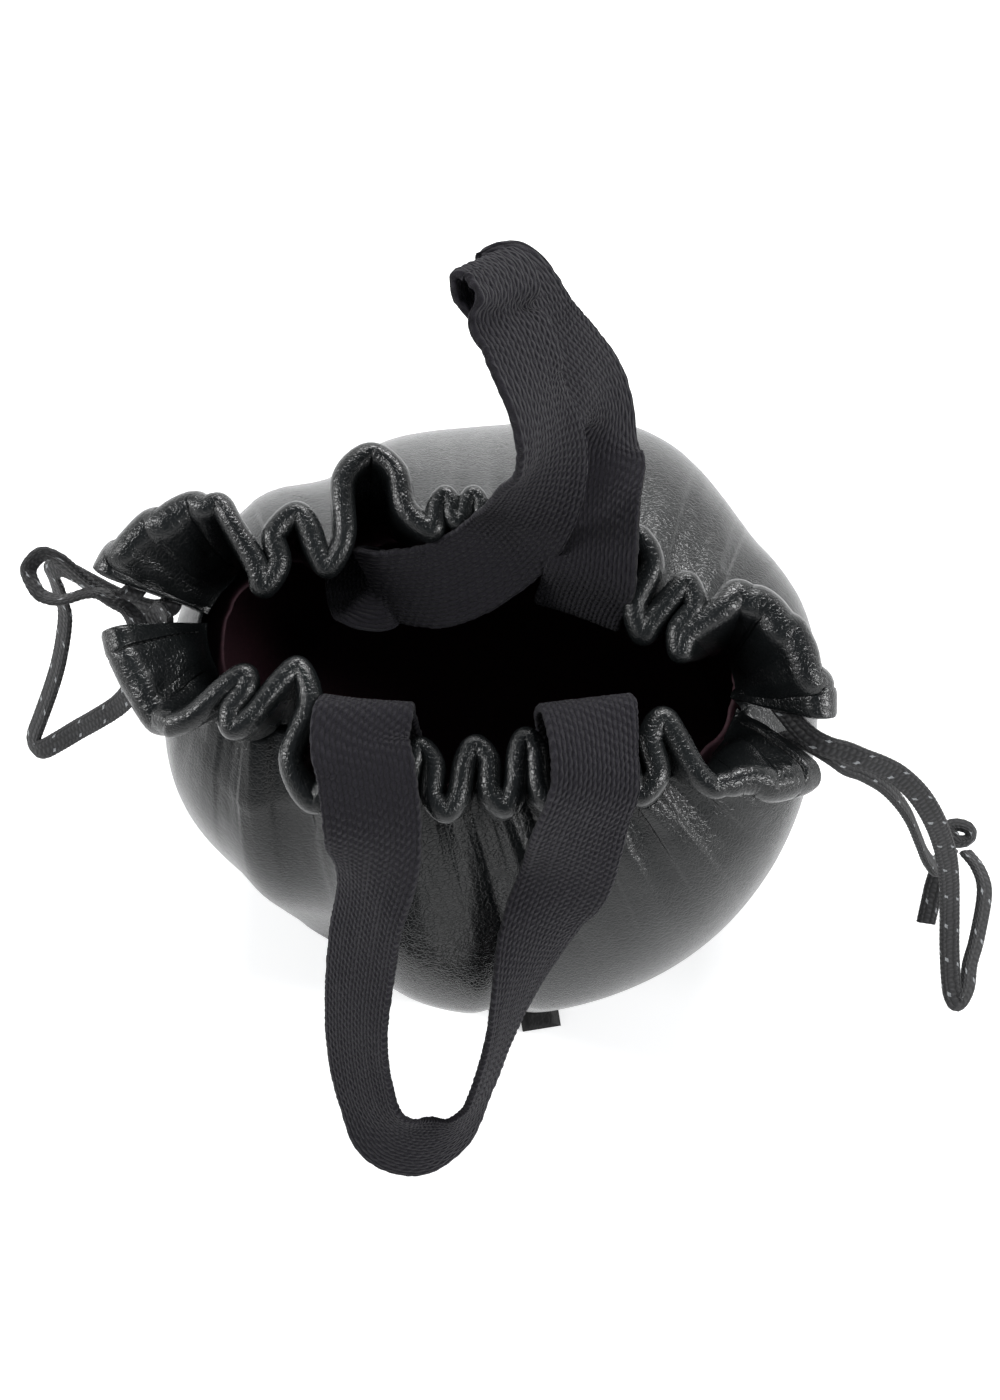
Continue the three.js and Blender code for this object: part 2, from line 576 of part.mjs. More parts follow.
const crestHeight = bodyHeight + channelHeight + strapClearance + strapThickness;
const rimHeight = bodyHeight + channelHeight;

function frontHandlePlace(row) {
  return new THREE.Vector3(
    mouthCentre.x + row.along * handleSpan,
    mouthCentre.y - mouthHalfWidth - row.out * frontReach,
    crestHeight + row.rise * frontDrop,
  );
}

function backHandlePlace(row) {
  return new THREE.Vector3(
    mouthCentre.x + row.along * handleSpan,
    mouthCentre.y + mouthHalfWidth + row.out * backLean,
    rimHeight + row.rise * backRise,
  );
}

// Drawcords: a flat braid swept along a route. broad is the direction of its width at the start.
function cord(route, broad) {
  const path = new THREE.CatmullRomCurve3(route.map((point) => new THREE.Vector3(...point)));
  const steps = Math.min(cordSteps, 2 * route.length);
  const frames = path.computeFrenetFrames(steps, false);
  const width = new THREE.Vector3(...broad);
  const roll = Math.atan2(width.dot(frames.binormals[0]), width.dot(frames.normals[0]));
  const section = new THREE.Shape();
  const sides = 8;
  for (let k = 0; k < sides; k += 1) {
    const turn = 2 * Math.PI * k / sides;
    const corner = new THREE.Vector2(cordWidth / 2 * Math.cos(turn), cordThickness / 2 * Math.sin(turn));
    corner.rotateAround(new THREE.Vector2(), roll);
    if (k === 0) section.moveTo(corner.x, corner.y);
    else section.lineTo(corner.x, corner.y);
  }
  section.closePath();
  return new THREE.ExtrudeGeometry(section, { steps, extrudePath: path });
}

// The knot is one lumpy turn of the braid, drawn as a rounded solid
function cordKnot() {
  const knot = new THREE.SphereGeometry(knotRadius, 12, 8);
  knot.scale(1, 0.9, 0.75);
  knot.translate(knotCentre.x, knotCentre.y, knotCentre.z);
  return knot;
}

addPiece('base_panel', basePanel(), baseLeather);
addPiece('body_shell', bodyShell(), leather);
addPiece('lining', liningBag(), plumCloth);
addPiece('casing_front', drawcordChannel(frontFolds), leather);
addPiece('casing_back', drawcordChannel(backFolds), leather);
addPiece('handle_front', strap(strapPath(frontHandle, frontHandlePlace, [
  { angle: 254, side: 1 }, { angle: 299, side: -1 },
])), webbing);
addPiece('handle_back', strap(strapPath(backHandle, backHandlePlace, [
  { angle: 118, side: -1 }, { angle: 66, side: 1 },
])), webbing);
addPiece('cord_left_pull', cord(leftPullRoute, [-0.79, 0.35, 0.5]), cordBraid);
addPiece('cord_left_turn', cord(leftTurnRoute, [-0.63, -0.34, 0.7]), cordBraid);
addPiece('cord_right_long', cord(rightLongRoute, [0.71, -0.13, 0.69]), cordBraid);
addPiece('cord_right_short', cord(rightShortRoute, [0.45, -0.68, 0.57]), cordBraid);
addPiece('cord_tail', cord(tailRoute, [1, 0, 0]), cordBraid);
addPiece('cord_knot', cordKnot(), cordBraid);
addPiece('base_tab', baseTab(), baseLeather);

export default bag;
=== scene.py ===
"""Leather drawstring bucket bag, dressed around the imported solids. Metres, +Z up."""
import math

import bmesh
import bpy
import numpy as np
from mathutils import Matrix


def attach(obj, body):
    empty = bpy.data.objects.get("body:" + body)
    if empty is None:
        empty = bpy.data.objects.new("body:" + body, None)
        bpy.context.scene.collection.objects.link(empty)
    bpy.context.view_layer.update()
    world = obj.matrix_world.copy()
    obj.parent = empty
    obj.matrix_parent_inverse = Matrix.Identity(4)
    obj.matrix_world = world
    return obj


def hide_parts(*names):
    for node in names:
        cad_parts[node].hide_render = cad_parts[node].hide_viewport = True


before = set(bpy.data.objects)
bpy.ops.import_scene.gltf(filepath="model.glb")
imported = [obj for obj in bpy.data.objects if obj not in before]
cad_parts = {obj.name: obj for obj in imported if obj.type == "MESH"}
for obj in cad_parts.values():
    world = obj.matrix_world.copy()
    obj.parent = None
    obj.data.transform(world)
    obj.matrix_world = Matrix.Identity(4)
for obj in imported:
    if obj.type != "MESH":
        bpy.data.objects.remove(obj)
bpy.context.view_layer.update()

MM = 0.001

# Sizes in millimetres, as in the solids
BODY_HEIGHT = 184.0
BELLY_RADIUS = 119.0
BELLY_SHIFT = (-1.0, 6.0)
BELLY_LEVEL = 0.5
BASE_RADIUS = 106.0
LEATHER = 1.6
PANEL = 3.0
SEAM = 0.3
MOUTH_A = 92.0
MOUTH_B = 46.0
MOUTH_TURN = math.radians(-9.5)
MOUTH_CENTRE = np.array([-10.0, -2.0])
CHANNEL = 42.0
LINING_TOP = BODY_HEIGHT - 8
STITCH_HALF = 1.7
STRAP_WIDTH = 30.0
STRAP_THICK = 2.6
STRAP_CLEARANCE = 5.6
CORD_WIDTH = 7.6
CORD_THICK = 2.6

# Camera of the photograph, fitted to the base, the mouth and the handles
CAMERA_LENS = 38.57
CAMERA_SENSOR = 36.0
CAMERA_PLACE = (0.0, -0.14641, 0.67296)
CAMERA_TILT = math.radians(15.0)
camera_data = bpy.data.cameras.new("camera")
camera_data.lens = CAMERA_LENS
camera_data.sensor_width = CAMERA_SENSOR
camera = bpy.data.objects.new("camera", camera_data)
camera.location = CAMERA_PLACE
camera.rotation_euler = (CAMERA_TILT, 0.0, 0.0)
bpy.context.collection.objects.link(camera)
bpy.context.scene.camera = camera


# Small tools
def smoothstep(x, low, high):
    t = np.clip((np.asarray(x, float) - low) / (high - low), 0.0, 1.0)
    return t * t * (3.0 - 2.0 * t)


def unit(v):
    return v / np.maximum(np.linalg.norm(v, axis=-1, keepdims=True), 1e-9)


class Noise:
    """Smooth value noise in two directions, the same in each run."""

    def __init__(self, seed):
        self.grid = np.random.RandomState(seed).uniform(-1.0, 1.0, (256, 256))

    def __call__(self, x, y):
        x, y = np.broadcast_arrays(np.asarray(x, float), np.asarray(y, float))
        ix, iy = np.floor(x).astype(int), np.floor(y).astype(int)
        fx, fy = x - ix, y - iy
        fx, fy = fx * fx * (3 - 2 * fx), fy * fy * (3 - 2 * fy)
        g = self.grid
        a, b = g[ix % 256, iy % 256], g[(ix + 1) % 256, iy % 256]
        c, d = g[ix % 256, (iy + 1) % 256], g[(ix + 1) % 256, (iy + 1) % 256]
        return (a * (1 - fx) + b * fx) * (1 - fy) + (c * (1 - fx) + d * fx) * fy


def catmull(points, per_span):
    """Uniform Catmull-Rom curve through the points, with per_span samples in each span."""
    p = np.asarray(points, float)
    q = np.vstack([2 * p[0] - p[1], p, 2 * p[-1] - p[-2]])
    t = np.arange(per_span)[:, None] / per_span
    out = []
    for i in range(1, len(p)):
        a, b, c, d = q[i - 1], q[i], q[i + 1], q[i + 2]
        out.append(0.5 * (2 * b + (c - a) * t + (2 * a - 5 * b + 4 * c - d) * t * t
                          + (3 * b - a - 3 * c + d) * t ** 3))
    out.append(p[-1:])
    return np.vstack(out)


def running_length(p):
    return np.concatenate([[0.0], np.cumsum(np.linalg.norm(np.diff(p, axis=0), axis=1))])


def even(p, step):
    """The same polyline with points a step apart."""
    s = running_length(p)
    n = max(int(round(s[-1] / step)), 2)
    t = np.linspace(0.0, s[-1], n + 1)
    return np.stack([np.interp(t, s, p[:, k]) for k in range(p.shape[1])], axis=1)


def grid_piece(name, grid, around=False, along=False, caps=False, uv=None):
    """A piece from rows of points in millimetres. around joins the last column to the first, along the last
    row to the first, and caps closes the first and last rows."""
    rows, cols = grid.shape[:2]
    index = np.arange(rows * cols).reshape(rows, cols)
    if around:
        index = np.concatenate([index, index[:, :1]], axis=1)
    if along:
        index = np.concatenate([index, index[:1]], axis=0)
    faces = np.stack([index[:-1, :-1], index[1:, :-1], index[1:, 1:], index[:-1, 1:]], axis=-1).reshape(-1, 4)
    faces = faces.tolist()
    if caps:
        faces.append(list(range(cols)))
        faces.append(list(range(rows * cols - 1, (rows - 1) * cols - 1, -1)))
    mesh = bpy.data.meshes.new(name)
    mesh.from_pydata((grid.reshape(-1, 3) * MM).tolist(), [], faces)
    mesh.polygons.foreach_set("use_smooth", [True] * len(mesh.polygons))
    if uv is not None:
        layer = mesh.uv_layers.new(name="UVMap")
        loops = np.empty(len(mesh.loops), dtype=np.int32)
        mesh.loops.foreach_get("vertex_index", loops)
        layer.data.foreach_set("uv", (uv.reshape(-1, 2) * MM)[loops].astype(np.float32).ravel())
    mesh.validate()
    mesh.update()
    piece = bpy.data.objects.new(name, mesh)
    bpy.context.collection.objects.link(piece)
    return piece


def face_outward(piece):
    bm = bmesh.new()
    bm.from_mesh(piece.data)
    bmesh.ops.recalc_face_normals(bm, faces=bm.faces)
    bm.to_mesh(piece.data)
    bm.free()


def stand_for(piece, node):
    """The piece rides with the root and is seen in the place of the solid."""
    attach(piece, "root")
    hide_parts(node)


# Drawcords: flat braids along the routes of the solids, in metres
CORD_ROUTES = {
    "cord_left_pull": ([
        (-0.1092, 0.0219, 0.1918), (-0.1108, 0.019, 0.191), (-0.1122, 0.0158, 0.1901),
        (-0.1165, 0.0153, 0.1888), (-0.1215, 0.0166, 0.188), (-0.131, 0.021, 0.186), (-0.14, 0.026, 0.185),
        (-0.147, 0.03, 0.184), (-0.153, 0.033, 0.182), (-0.157, 0.033, 0.177), (-0.157, 0.031, 0.171),
        (-0.157, 0.028, 0.165), (-0.1567, 0.0234, 0.159), (-0.1586, 0.0158, 0.153),
        (-0.1618, 0.0081, 0.146), (-0.1664, 0.0004, 0.138), (-0.1715, -0.0085, 0.131),
        (-0.1745, -0.0141, 0.127), (-0.1744, -0.0174, 0.125), (-0.1707, -0.0191, 0.127),
        (-0.1635, -0.0172, 0.132), (-0.1553, -0.0145, 0.138), (-0.1461, -0.0123, 0.146),
        (-0.137, -0.0096, 0.154), (-0.131, -0.007, 0.162), (-0.126, -0.003, 0.171), (-0.122, 0.004, 0.18),
        (-0.117, 0.0134, 0.1882), (-0.1124, 0.0122, 0.1935), (-0.1101, 0.0084, 0.1953),
    ], (-0.79, 0.35, 0.5)),
    "cord_left_turn": ([
        (-0.1164, -0.0039, 0.2022), (-0.1178, 0.0004, 0.2022), (-0.1196, 0.0059, 0.2016),
        (-0.123, 0.011, 0.2), (-0.128, 0.014, 0.2), (-0.133, 0.017, 0.2), (-0.138, 0.017, 0.2),
        (-0.143, 0.0154, 0.2), (-0.1472, 0.0147, 0.2), (-0.1513, 0.0158, 0.2), (-0.1538, 0.0175, 0.201),
        (-0.1569, 0.0239, 0.202), (-0.1549, 0.0279, 0.203), (-0.1519, 0.0299, 0.203),
        (-0.1479, 0.0289, 0.202), (-0.145, 0.027, 0.199), (-0.14, 0.023, 0.196), (-0.134, 0.019, 0.194),
        (-0.128, 0.0175, 0.194), (-0.1232, 0.0188, 0.1962), (-0.1205, 0.0221, 0.1985),
        (-0.1186, 0.0252, 0.1998),
    ], (-0.63, -0.34, 0.7)),
    "cord_right_long": ([
        (0.0903, -0.0155, 0.1986), (0.0913, -0.0198, 0.1979), (0.0942, -0.0244, 0.1987),
        (0.097, -0.0286, 0.1996), (0.101, -0.033, 0.201), (0.106, -0.0357, 0.201), (0.1119, -0.0371, 0.2),
        (0.1178, -0.039, 0.198), (0.1236, -0.0403, 0.195), (0.1297, -0.0421, 0.191),
        (0.1357, -0.0451, 0.186), (0.1411, -0.0486, 0.18), (0.1466, -0.0532, 0.172),
        (0.1518, -0.058, 0.162), (0.1569, -0.0641, 0.15), (0.1606, -0.071, 0.138), (0.1635, -0.08, 0.126),
        (0.1655, -0.091, 0.116), (0.1675, -0.101, 0.108), (0.169, -0.1075, 0.104), (0.1716, -0.1104, 0.102),
        (0.1747, -0.1052, 0.103), (0.1759, -0.0965, 0.105), (0.1787, -0.0871, 0.107),
        (0.1818, -0.0707, 0.1105), (0.1809, -0.0613, 0.1086), (0.1774, -0.0543, 0.1058),
    ], (0.71, -0.13, 0.69)),
    "cord_right_short": ([
        (0.0879, -0.0354, 0.196), (0.0898, -0.0334, 0.1947), (0.093, -0.032, 0.1945),
        (0.097, -0.0315, 0.195), (0.102, -0.0335, 0.1953), (0.108, -0.037, 0.1945), (0.113, -0.0397, 0.192),
        (0.119, -0.0407, 0.188), (0.1273, -0.0436, 0.182), (0.1343, -0.0474, 0.174),
        (0.1404, -0.0519, 0.165), (0.1461, -0.0576, 0.154), (0.1519, -0.0624, 0.142),
        (0.1587, -0.0635, 0.13), (0.1687, -0.0546, 0.1126), (0.1715, -0.0511, 0.1083),
    ], (0.45, -0.68, 0.57)),
    "cord_tail": ([
        (0.1729, -0.052, 0.1003), (0.1703, -0.0592, 0.095), (0.1686, -0.0657, 0.091),
        (0.1674, -0.0723, 0.088), (0.1662, -0.0789, 0.085),
    ], (1, 0, 0)),
}
KNOT_CENTRE = np.array([176.0, -47.0, 104.0])
CORD_SIDES = 20
BRAID_STEP = 0.6
PLAIT_PITCH = 2.1
PLAIT_WIDTH = 2.6


def carried_frames(line, broad):
    """Directions of a swept section's width and thickness along a line, without a twist of its own."""
    travel = unit(np.gradient(line, axis=0))
    width = np.empty_like(line)
    w = np.asarray(broad, float)
    for i, t in enumerate(travel):
        w = w - w.dot(t) * t
        w = w / np.linalg.norm(w)
        width[i] = w
    return width, np.cross(travel, width)


def flat_braid(name, route, broad):
    line = even(catmull(np.array(route) / MM, 12), BRAID_STEP)
    width, thick = carried_frames(line, broad)
    turn = 2 * math.pi * np.arange(CORD_SIDES) / CORD_SIDES
    run = running_length(line)[:, None]
    c, s = np.cos(turn), np.sin(turn)
    # a flat braid is nearly a rounded rectangle, with a shallow groove down its middle
    broadness = np.sign(c) * np.abs(c) ** 0.75 * CORD_WIDTH / 2
    fatness = np.sign(s) * np.abs(s) ** 0.6 * CORD_THICK / 2 * (0.86 + 0.14 * np.minimum(1, np.abs(c) * 2.2))
    plait = 0.10 * np.sin(2 * math.pi * (run / PLAIT_PITCH + np.abs(broadness) / PLAIT_WIDTH))
    fat = fatness[None, :] * (1 + plait)
    edge = broadness[None, :] * (1 + 0.018 * np.sin(2 * math.pi * run / PLAIT_PITCH))
    grid = line[:, None] + width[:, None] * edge[..., None] + thick[:, None] * fat[..., None]
    across = np.concatenate([np.linspace(0, CORD_WIDTH, CORD_SIDES // 2, endpoint=False),
                             np.linspace(CORD_WIDTH, 2 * CORD_WIDTH, CORD_SIDES // 2, endpoint=False)])
    uv = np.stack(np.broadcast_arrays(run, across[None, :]), axis=-1)
    piece = grid_piece(name, grid, around=True, caps=True, uv=uv)
    face_outward(piece)
    return piece, line


cords = {}
cord_lines = {}
for cord_name, (route, broad) in CORD_ROUTES.items():
    cords[cord_name], cord_lines[cord_name] = flat_braid(cord_name + "_braid", route, broad)
    stand_for(cords[cord_name], cord_name)


def knot():
    """One overhand turn: a short thick coil of the braid wrapped round its own strands."""
    t = np.linspace(0, 2 * math.pi * 1.75, 150)
    ring = 4.1 + 0.5 * np.sin(2.3 * t)
    line = np.stack([ring * np.cos(t), ring * np.sin(t) * 0.86,
                     -1.9 + 3.8 * t / t[-1] + 0.6 * np.sin(2 * t)], axis=1)
    line = even(line + KNOT_CENTRE, BRAID_STEP)
    width, thick = carried_frames(line, (0, 0, 1))
    turn = 2 * math.pi * np.arange(CORD_SIDES) / CORD_SIDES
    run = running_length(line)[:, None]
    taper = np.minimum(1, 0.35 + 0.65 * np.minimum(run, run[-1] - run) / 3.0)
    broadness = np.sign(np.cos(turn)) * np.abs(np.cos(turn)) ** 0.8 * CORD_WIDTH * 0.36
    fatness = np.sign(np.sin(turn)) * np.abs(np.sin(turn)) ** 0.7 * CORD_THICK * 0.62
    plait = 1 + 0.10 * np.sin(2 * math.pi * (run / PLAIT_PITCH + np.abs(broadness) / PLAIT_WIDTH))
    grid = (line[:, None] + width[:, None] * (broadness[None, :] * taper)[..., None]
            + thick[:, None] * (fatness[None, :] * taper * plait)[..., None])
    uv = np.stack(np.broadcast_arrays(run, (turn * CORD_WIDTH / math.pi)[None, :]), axis=-1)
    piece = grid_piece("cord_knot_braid", grid, around=True, caps=True, uv=uv)
    face_outward(piece)
    stand_for(piece, "cord_knot")
    return piece


knot_piece = knot()
CORD_FACTS = {
    "cord_left_pull": ("object", "hanging"),
    "cord_left_turn": ("object", "loose"),
    "cord_right_long": ("knot", "hanging"),
    "cord_right_short": ("knot", "hanging"),
}
for cord_name, (far_end, lay) in CORD_FACTS.items():
    line = cord_lines[cord_name] * MM


# Mouth line and body wall
def mouth_point(angle):
    a = np.radians(angle)
    x, y = MOUTH_A * np.cos(a), MOUTH_B * np.sin(a)
    c, s = math.cos(MOUTH_TURN), math.sin(MOUTH_TURN)
    return np.stack([x * c - y * s, x * s + y * c], axis=-1) + MOUTH_CENTRE


def mouth_outward(angle):
    a = np.radians(angle)
    x, y = np.cos(a) / MOUTH_A, np.sin(a) / MOUTH_B
    c, s = math.cos(MOUTH_TURN), math.sin(MOUTH_TURN)
    return unit(np.stack([x * c - y * s, x * s + y * c], axis=-1))


# Folds of the ruffle: at, foot, rim, slide, plump, as in the solids
FRONT_FOLDS = [
    (182, 0, 0.58, 0.35, 0.26), (190, 0, 0.52, 0.5, 0.3), (200, 0, 0.57, 0.47, 0.28),
    (209, 0.05, 0.54, 0.28, 0.2), (217, -0.05, -0.12, 0.15, 0.15), (224, 0.07, 0.27, 0.14, 0.15),
    (231, -0.13, -0.41, 0.05, 0.14), (243, 0.12, 0.49, 0.22, 0.16), (253, -0.05, -0.08, 0, 0.14),
    (260, 0.12, 0.42, 0.12, 0.14), (266, -0.06, -0.12, -0.04, 0.13), (271, 0.12, 0.33, 0.04, 0.13),
    (276, -0.1, -0.21, -0.01, 0.13), (281, 0.1, 0.24, 0.06, 0.13), (286, -0.12, -0.3, 0, 0.13),
    (291, 0.09, 0.2, 0, 0.13), (296, -0.1, -0.29, 0, 0.13), (301, 0.09, 0.21, -0.06, 0.13),
    (307, -0.1, -0.26, -0.02, 0.13), (313, 0.09, 0.22, -0.15, 0.14), (320, -0.12, -0.3, 0, 0.15),
    (330, 0.1, 0.33, -0.19, 0.18), (340, 0.04, 0.39, -0.29, 0.24), (350, 0, 0.6, -0.42, 0.28),
    (358, 0, 0.66, -0.57, 0.24),
]
BACK_FOLDS = [
    (178, 0, 0.82, -0.01, 0.26), (171, 0, 0.63, 0, 0.3), (162, 0, 0.43, -0.06, 0.3),
    (154, 0.06, 0.2, -0.08, 0.2), (147, -0.13, -0.58, 0.13, 0.15), (139, 0.05, -0.13, -0.16, 0.15),
    (131, -0.13, -0.61, -0.08, 0.15), (118, 0.12, 0.3, -0.12, 0.2), (106, -0.12, -0.36, -0.14, 0.14),
    (101, 0.02, -0.07, -0.06, 0.1), (97, -0.1, -0.28, -0.03, 0.1), (93, 0.02, -0.04, 0.03, 0.1),
    (89, -0.09, -0.23, 0.04, 0.1), (85, 0.02, -0.03, 0.06, 0.1), (81, -0.1, -0.22, 0.08, 0.1),
    (76, 0.02, 0.01, 0.12, 0.11), (71, -0.1, -0.22, 0.14, 0.11), (66, 0.02, 0, 0.18, 0.12),
    (60, -0.12, -0.28, 0.14, 0.12), (54, 0.04, -0.01, 0.15, 0.14), (45, -0.13, -0.66, -0.03, 0.16),
    (37, 0.04, -0.14, 0.14, 0.15), (29, -0.13, -0.57, -0.06, 0.16), (21, 0.03, 0.06, 0.25, 0.24),
    (13, 0, 0.23, 0.24, 0.3), (7, 0, 0.39, 0.06, 0.3), (2, -0.06, 0.6, -0.27, 0.26),
]


def with_limbs(folds):
    """Folds with the two points of the straight limb between each pair, placed as in the solids."""
    out = []
    for a, b in zip(folds, folds[1:]):
        out.append(a)
        across = abs(b[2] - a[2]) * CHANNEL
        along = np.linalg.norm(mouth_point(a[0]) - mouth_point(b[0]))
        square = min(1.0, across / (along + across))
        for at, lean in ((0.34, 0.14 * square), (0.66, -0.14 * square)):
            s, c = at + lean, at - lean
            out.append(tuple(p + (q - p) * t for p, q, t in zip(a, b, (s, c, c, s, c))))
    return out + [folds[-1]]


def channel_lines(folds):
    """Foot and rim of the channel at its stations, in millimetres, and its thickness."""
    rows = np.array(with_limbs(folds), float)
    outward = mouth_outward(rows[:, 0])
    travel = np.stack([-outward[:, 1], outward[:, 0]], axis=1)
    mouth = mouth_point(rows[:, 0])
    feet = mouth + outward * rows[:, 1:2] * CHANNEL
    tips = mouth + outward * rows[:, 2:3] * CHANNEL + travel * rows[:, 3:4] * CHANNEL
    shift = tips - feet
    reach = np.minimum(np.linalg.norm(shift, axis=1), 0.97 * CHANNEL)
    shift = unit(shift) * reach[:, None]
    rise = np.sqrt(CHANNEL ** 2 - reach ** 2)
    foot_z = np.full(len(rows), BODY_HEIGHT + SEAM)
    foot = np.column_stack([feet, foot_z])
    rim = np.column_stack([feet + shift, foot_z + rise])
    return foot, rim, rows[:, 4] * CHANNEL / 2


WRINKLES = Noise(3)
SWELL = Noise(11)
RUFFLE_ROWS = 26
RUFFLE_PER_SPAN = 20
HEM = 6.5
END_DEPTH = 11.0
END_MIDDLE = 5.0


def ruffle(name, folds, fatter, seed):
    """A gathered channel: a soft doubled edge that runs in and out, hollow at its two ends."""
    foot, rim, half = channel_lines(folds)
    foot = catmull(foot, RUFFLE_PER_SPAN)
    rim = catmull(rim, RUFFLE_PER_SPAN)
    half = np.maximum(catmull(half[:, None], RUFFLE_PER_SPAN)[:, 0], 1.5)
    half = np.where(half < 4.0, np.minimum(half * fatter, 4.0), half)
    run = running_length(0.3 * foot + 0.7 * rim)
    end = np.minimum(run, run[-1] - run)
    h = 0.5 - 0.5 * np.cos(np.pi * np.linspace(0, 1, RUFFLE_ROWS) ** 0.85)
    up = unit(rim - foot)
    centre = foot[:, None] + (rim - foot)[:, None] * h[None, :, None]
    travel = unit(np.gradient(centre, axis=0))
    out = unit(np.cross(travel, up[:, None]))
    bend = np.gradient(unit(travel), axis=0)
    step = np.maximum(np.linalg.norm(np.gradient(centre, axis=0), axis=-1), 0.05)
    curve = np.sum(bend * out, axis=-1) / step
    for _ in range(3):
        curve[1:-1] = (curve[:-2] + curve[1:-1] + curve[2:]) / 3

    # Half thickness: flat at the stitches, full in the middle, round at the rim
    height = h * CHANNEL
    full = half[:, None] * smoothstep(height, -6.0, 17.0)[None, :] ** 0.9
    from_rim = (CHANNEL - height)[None, :]
    rounding = np.sqrt(np.clip(1 - (1 - np.minimum(from_rim / half[:, None], 1)) ** 2, 0, 1))
    full = np.maximum(full, STITCH_HALF * (height[None, :] < 3)) * rounding
    # Hem strips at the two ends, each with a groove at its stitches
    strip = 0.55 * smoothstep(end, HEM + 0.5, HEM - 0.5) - 0.75 * np.exp(-((end - HEM - 0.3) / 0.55) ** 2)
    edge = -1.0 * np.clip(1 - end / 1.1, 0, 1) ** 2
    full = full + (strip + edge)[:, None] * rounding * smoothstep(height, 2, 8)[None, :]
    # Slow unevenness of soft leather
    soft = smoothstep(half, 4.0, 8.0)[:, None]
    full = full * (1 + (0.10 + 0.12 * soft) * SWELL(run[:, None] / 13 + seed, h[None, :] * 2.5)
                   + 0.10 * soft * WRINKLES(run[:, None] / 4.5 + 20 + seed, h[None, :] * 5))
    sides = []
    for side in (1, -1):
        hollow = np.clip(side * curve, 0, None)
        tight = 1 / (1 + (full * hollow / 0.92) ** 4) ** 0.25
        offset = full * tight
        # Fine creases that cross the rim where the bend squeezes the leather
        squeeze = smoothstep(hollow, 0.02, 0.16)
        slack = 0.22 * smoothstep(np.abs(curve), 0.0, 0.03) * smoothstep(end, 6, 14)[:, None]
        phase = run[:, None] / 1.75 + 1.3 * WRINKLES(run[:, None] / 5 + seed, h[None, :] * 5)
        crease = -np.abs(np.sin(np.pi * phase)) ** 0.6
        patch = smoothstep(WRINKLES(run[:, None] / 3.1 + 40 + seed, h[None, :] * 6 + 9), -0.5, 0.6)
        depth = (0.55 * squeeze * (0.45 + 0.55 * patch) + 0.8 * slack * patch)
        depth = depth * smoothstep(height, 3, 12)[None, :]
        offset = np.maximum(offset + depth * (crease + 0.6), 0.15 * rounding)
        sides.append(centre + out * (side * offset)[..., None])
    # the rim is one line: the last column of both sides meets
    outside, inside = sides
    ring = np.concatenate([outside, inside[:, ::-1][:, 1:]], axis=1)
    # the channel's own inner faces show in its open ends
    def deep(rows_in):
        got = []
        for k, shrink in rows_in:
            inner_off = np.maximum(full[k] - shrink, 0.25)
            bulk = np.clip((h - 0.12) / 0.8, 0, 1)
            c = foot[k] + (rim[k] - foot[k]) * (0.08 + 0.86 * h)[:, None]
            a = c + out[k] * (inner_off * (bulk > 0) * rounding[k])[:, None]
            b = c - out[k] * (inner_off * (bulk > 0) * rounding[k])[:, None]
            got.append(np.concatenate([a, b[::-1][1:]]))
        return got
    reach = int(np.searchsorted(run, END_DEPTH))
    half_way = int(np.searchsorted(run, END_MIDDLE))
    first = deep([(reach, 1.9), (half_way, 1.6), (1, 1.2)])
    back = len(run) - 1
    last = deep([(back - 1, 1.2), (back - half_way, 1.6), (back - reach, 1.9)])
    grid = np.concatenate([np.array(first), ring, np.array(last)])
    total = grid.shape[1]
    v = np.linspace(0, 2 * CHANNEL, total)
    u = np.concatenate([[run[reach], run[half_way], 0], run,
                        [run[-1], run[-1] - END_MIDDLE, run[-1] - END_DEPTH]])
    uv = np.stack(np.broadcast_arrays(u[:, None], v[None, :]), axis=-1)
    piece = grid_piece(name, grid, around=True, caps=True, uv=uv)
    face_outward(piece)
    return piece, dict(run=run, out=out, full=full, centre=centre)


casing_front, front_facts = ruffle("casing_front_leather", FRONT_FOLDS, 1.48, 0.0)
casing_back, back_facts = ruffle("casing_back_leather", BACK_FOLDS, 1.44, 57.0)
for piece, node in ((casing_front, "casing_front"), (casing_back, "casing_back")):
    stand_for(piece, node)


WALL_FOLDS = [
    (221, 227, 1, 0.2, 6, 0.035), (238, 236, 0.98, 0.3, 10, -0.07), (227, 233, 0.92, 0.02, 16, -0.065),
    (275, 269, 0.95, 0, 4, -0.035), (318, 318, 0.95, 0.05, 24, 0.035), (196, 200, 0.95, 0.05, 15, 0.06),
    (128, 124, 1, 0.2, 10, -0.08), (64, 66, 0.95, 0.05, 18, 0.07), (32, 32, 0.95, 0.1, 14, -0.055),
]
RIPPLE_LEVELS = [0.0, 0.5, 0.74, 0.86, 0.94, 1.0]
RIPPLE_SHARES = [0.0, 0.0, 0.03, 0.16, 0.5, 1.0]


def smooth_wall(angle, level):
    a = np.radians(angle)
    rx, ry = np.cos(a), np.sin(a)
    swell = np.sin(np.pi / 2 * np.minimum(level, BELLY_LEVEL) / BELLY_LEVEL)
    low = BASE_RADIUS + (BELLY_RADIUS - BASE_RADIUS) * swell
    climb = np.clip((level - BELLY_LEVEL) / (1 - BELLY_LEVEL), 0, 1)
    fullness = 1.6 + 3.4 * rx ** 2
    inward = climb ** fullness
    mouth = mouth_point(angle)
    x = (low * rx + BELLY_SHIFT[0] * swell) * (1 - inward) + mouth[..., 0] * inward
    y = (low * ry + BELLY_SHIFT[1] * swell) * (1 - inward) + mouth[..., 1] * inward
    return np.stack([x, y, level * BODY_HEIGHT + 0 * x], axis=-1)


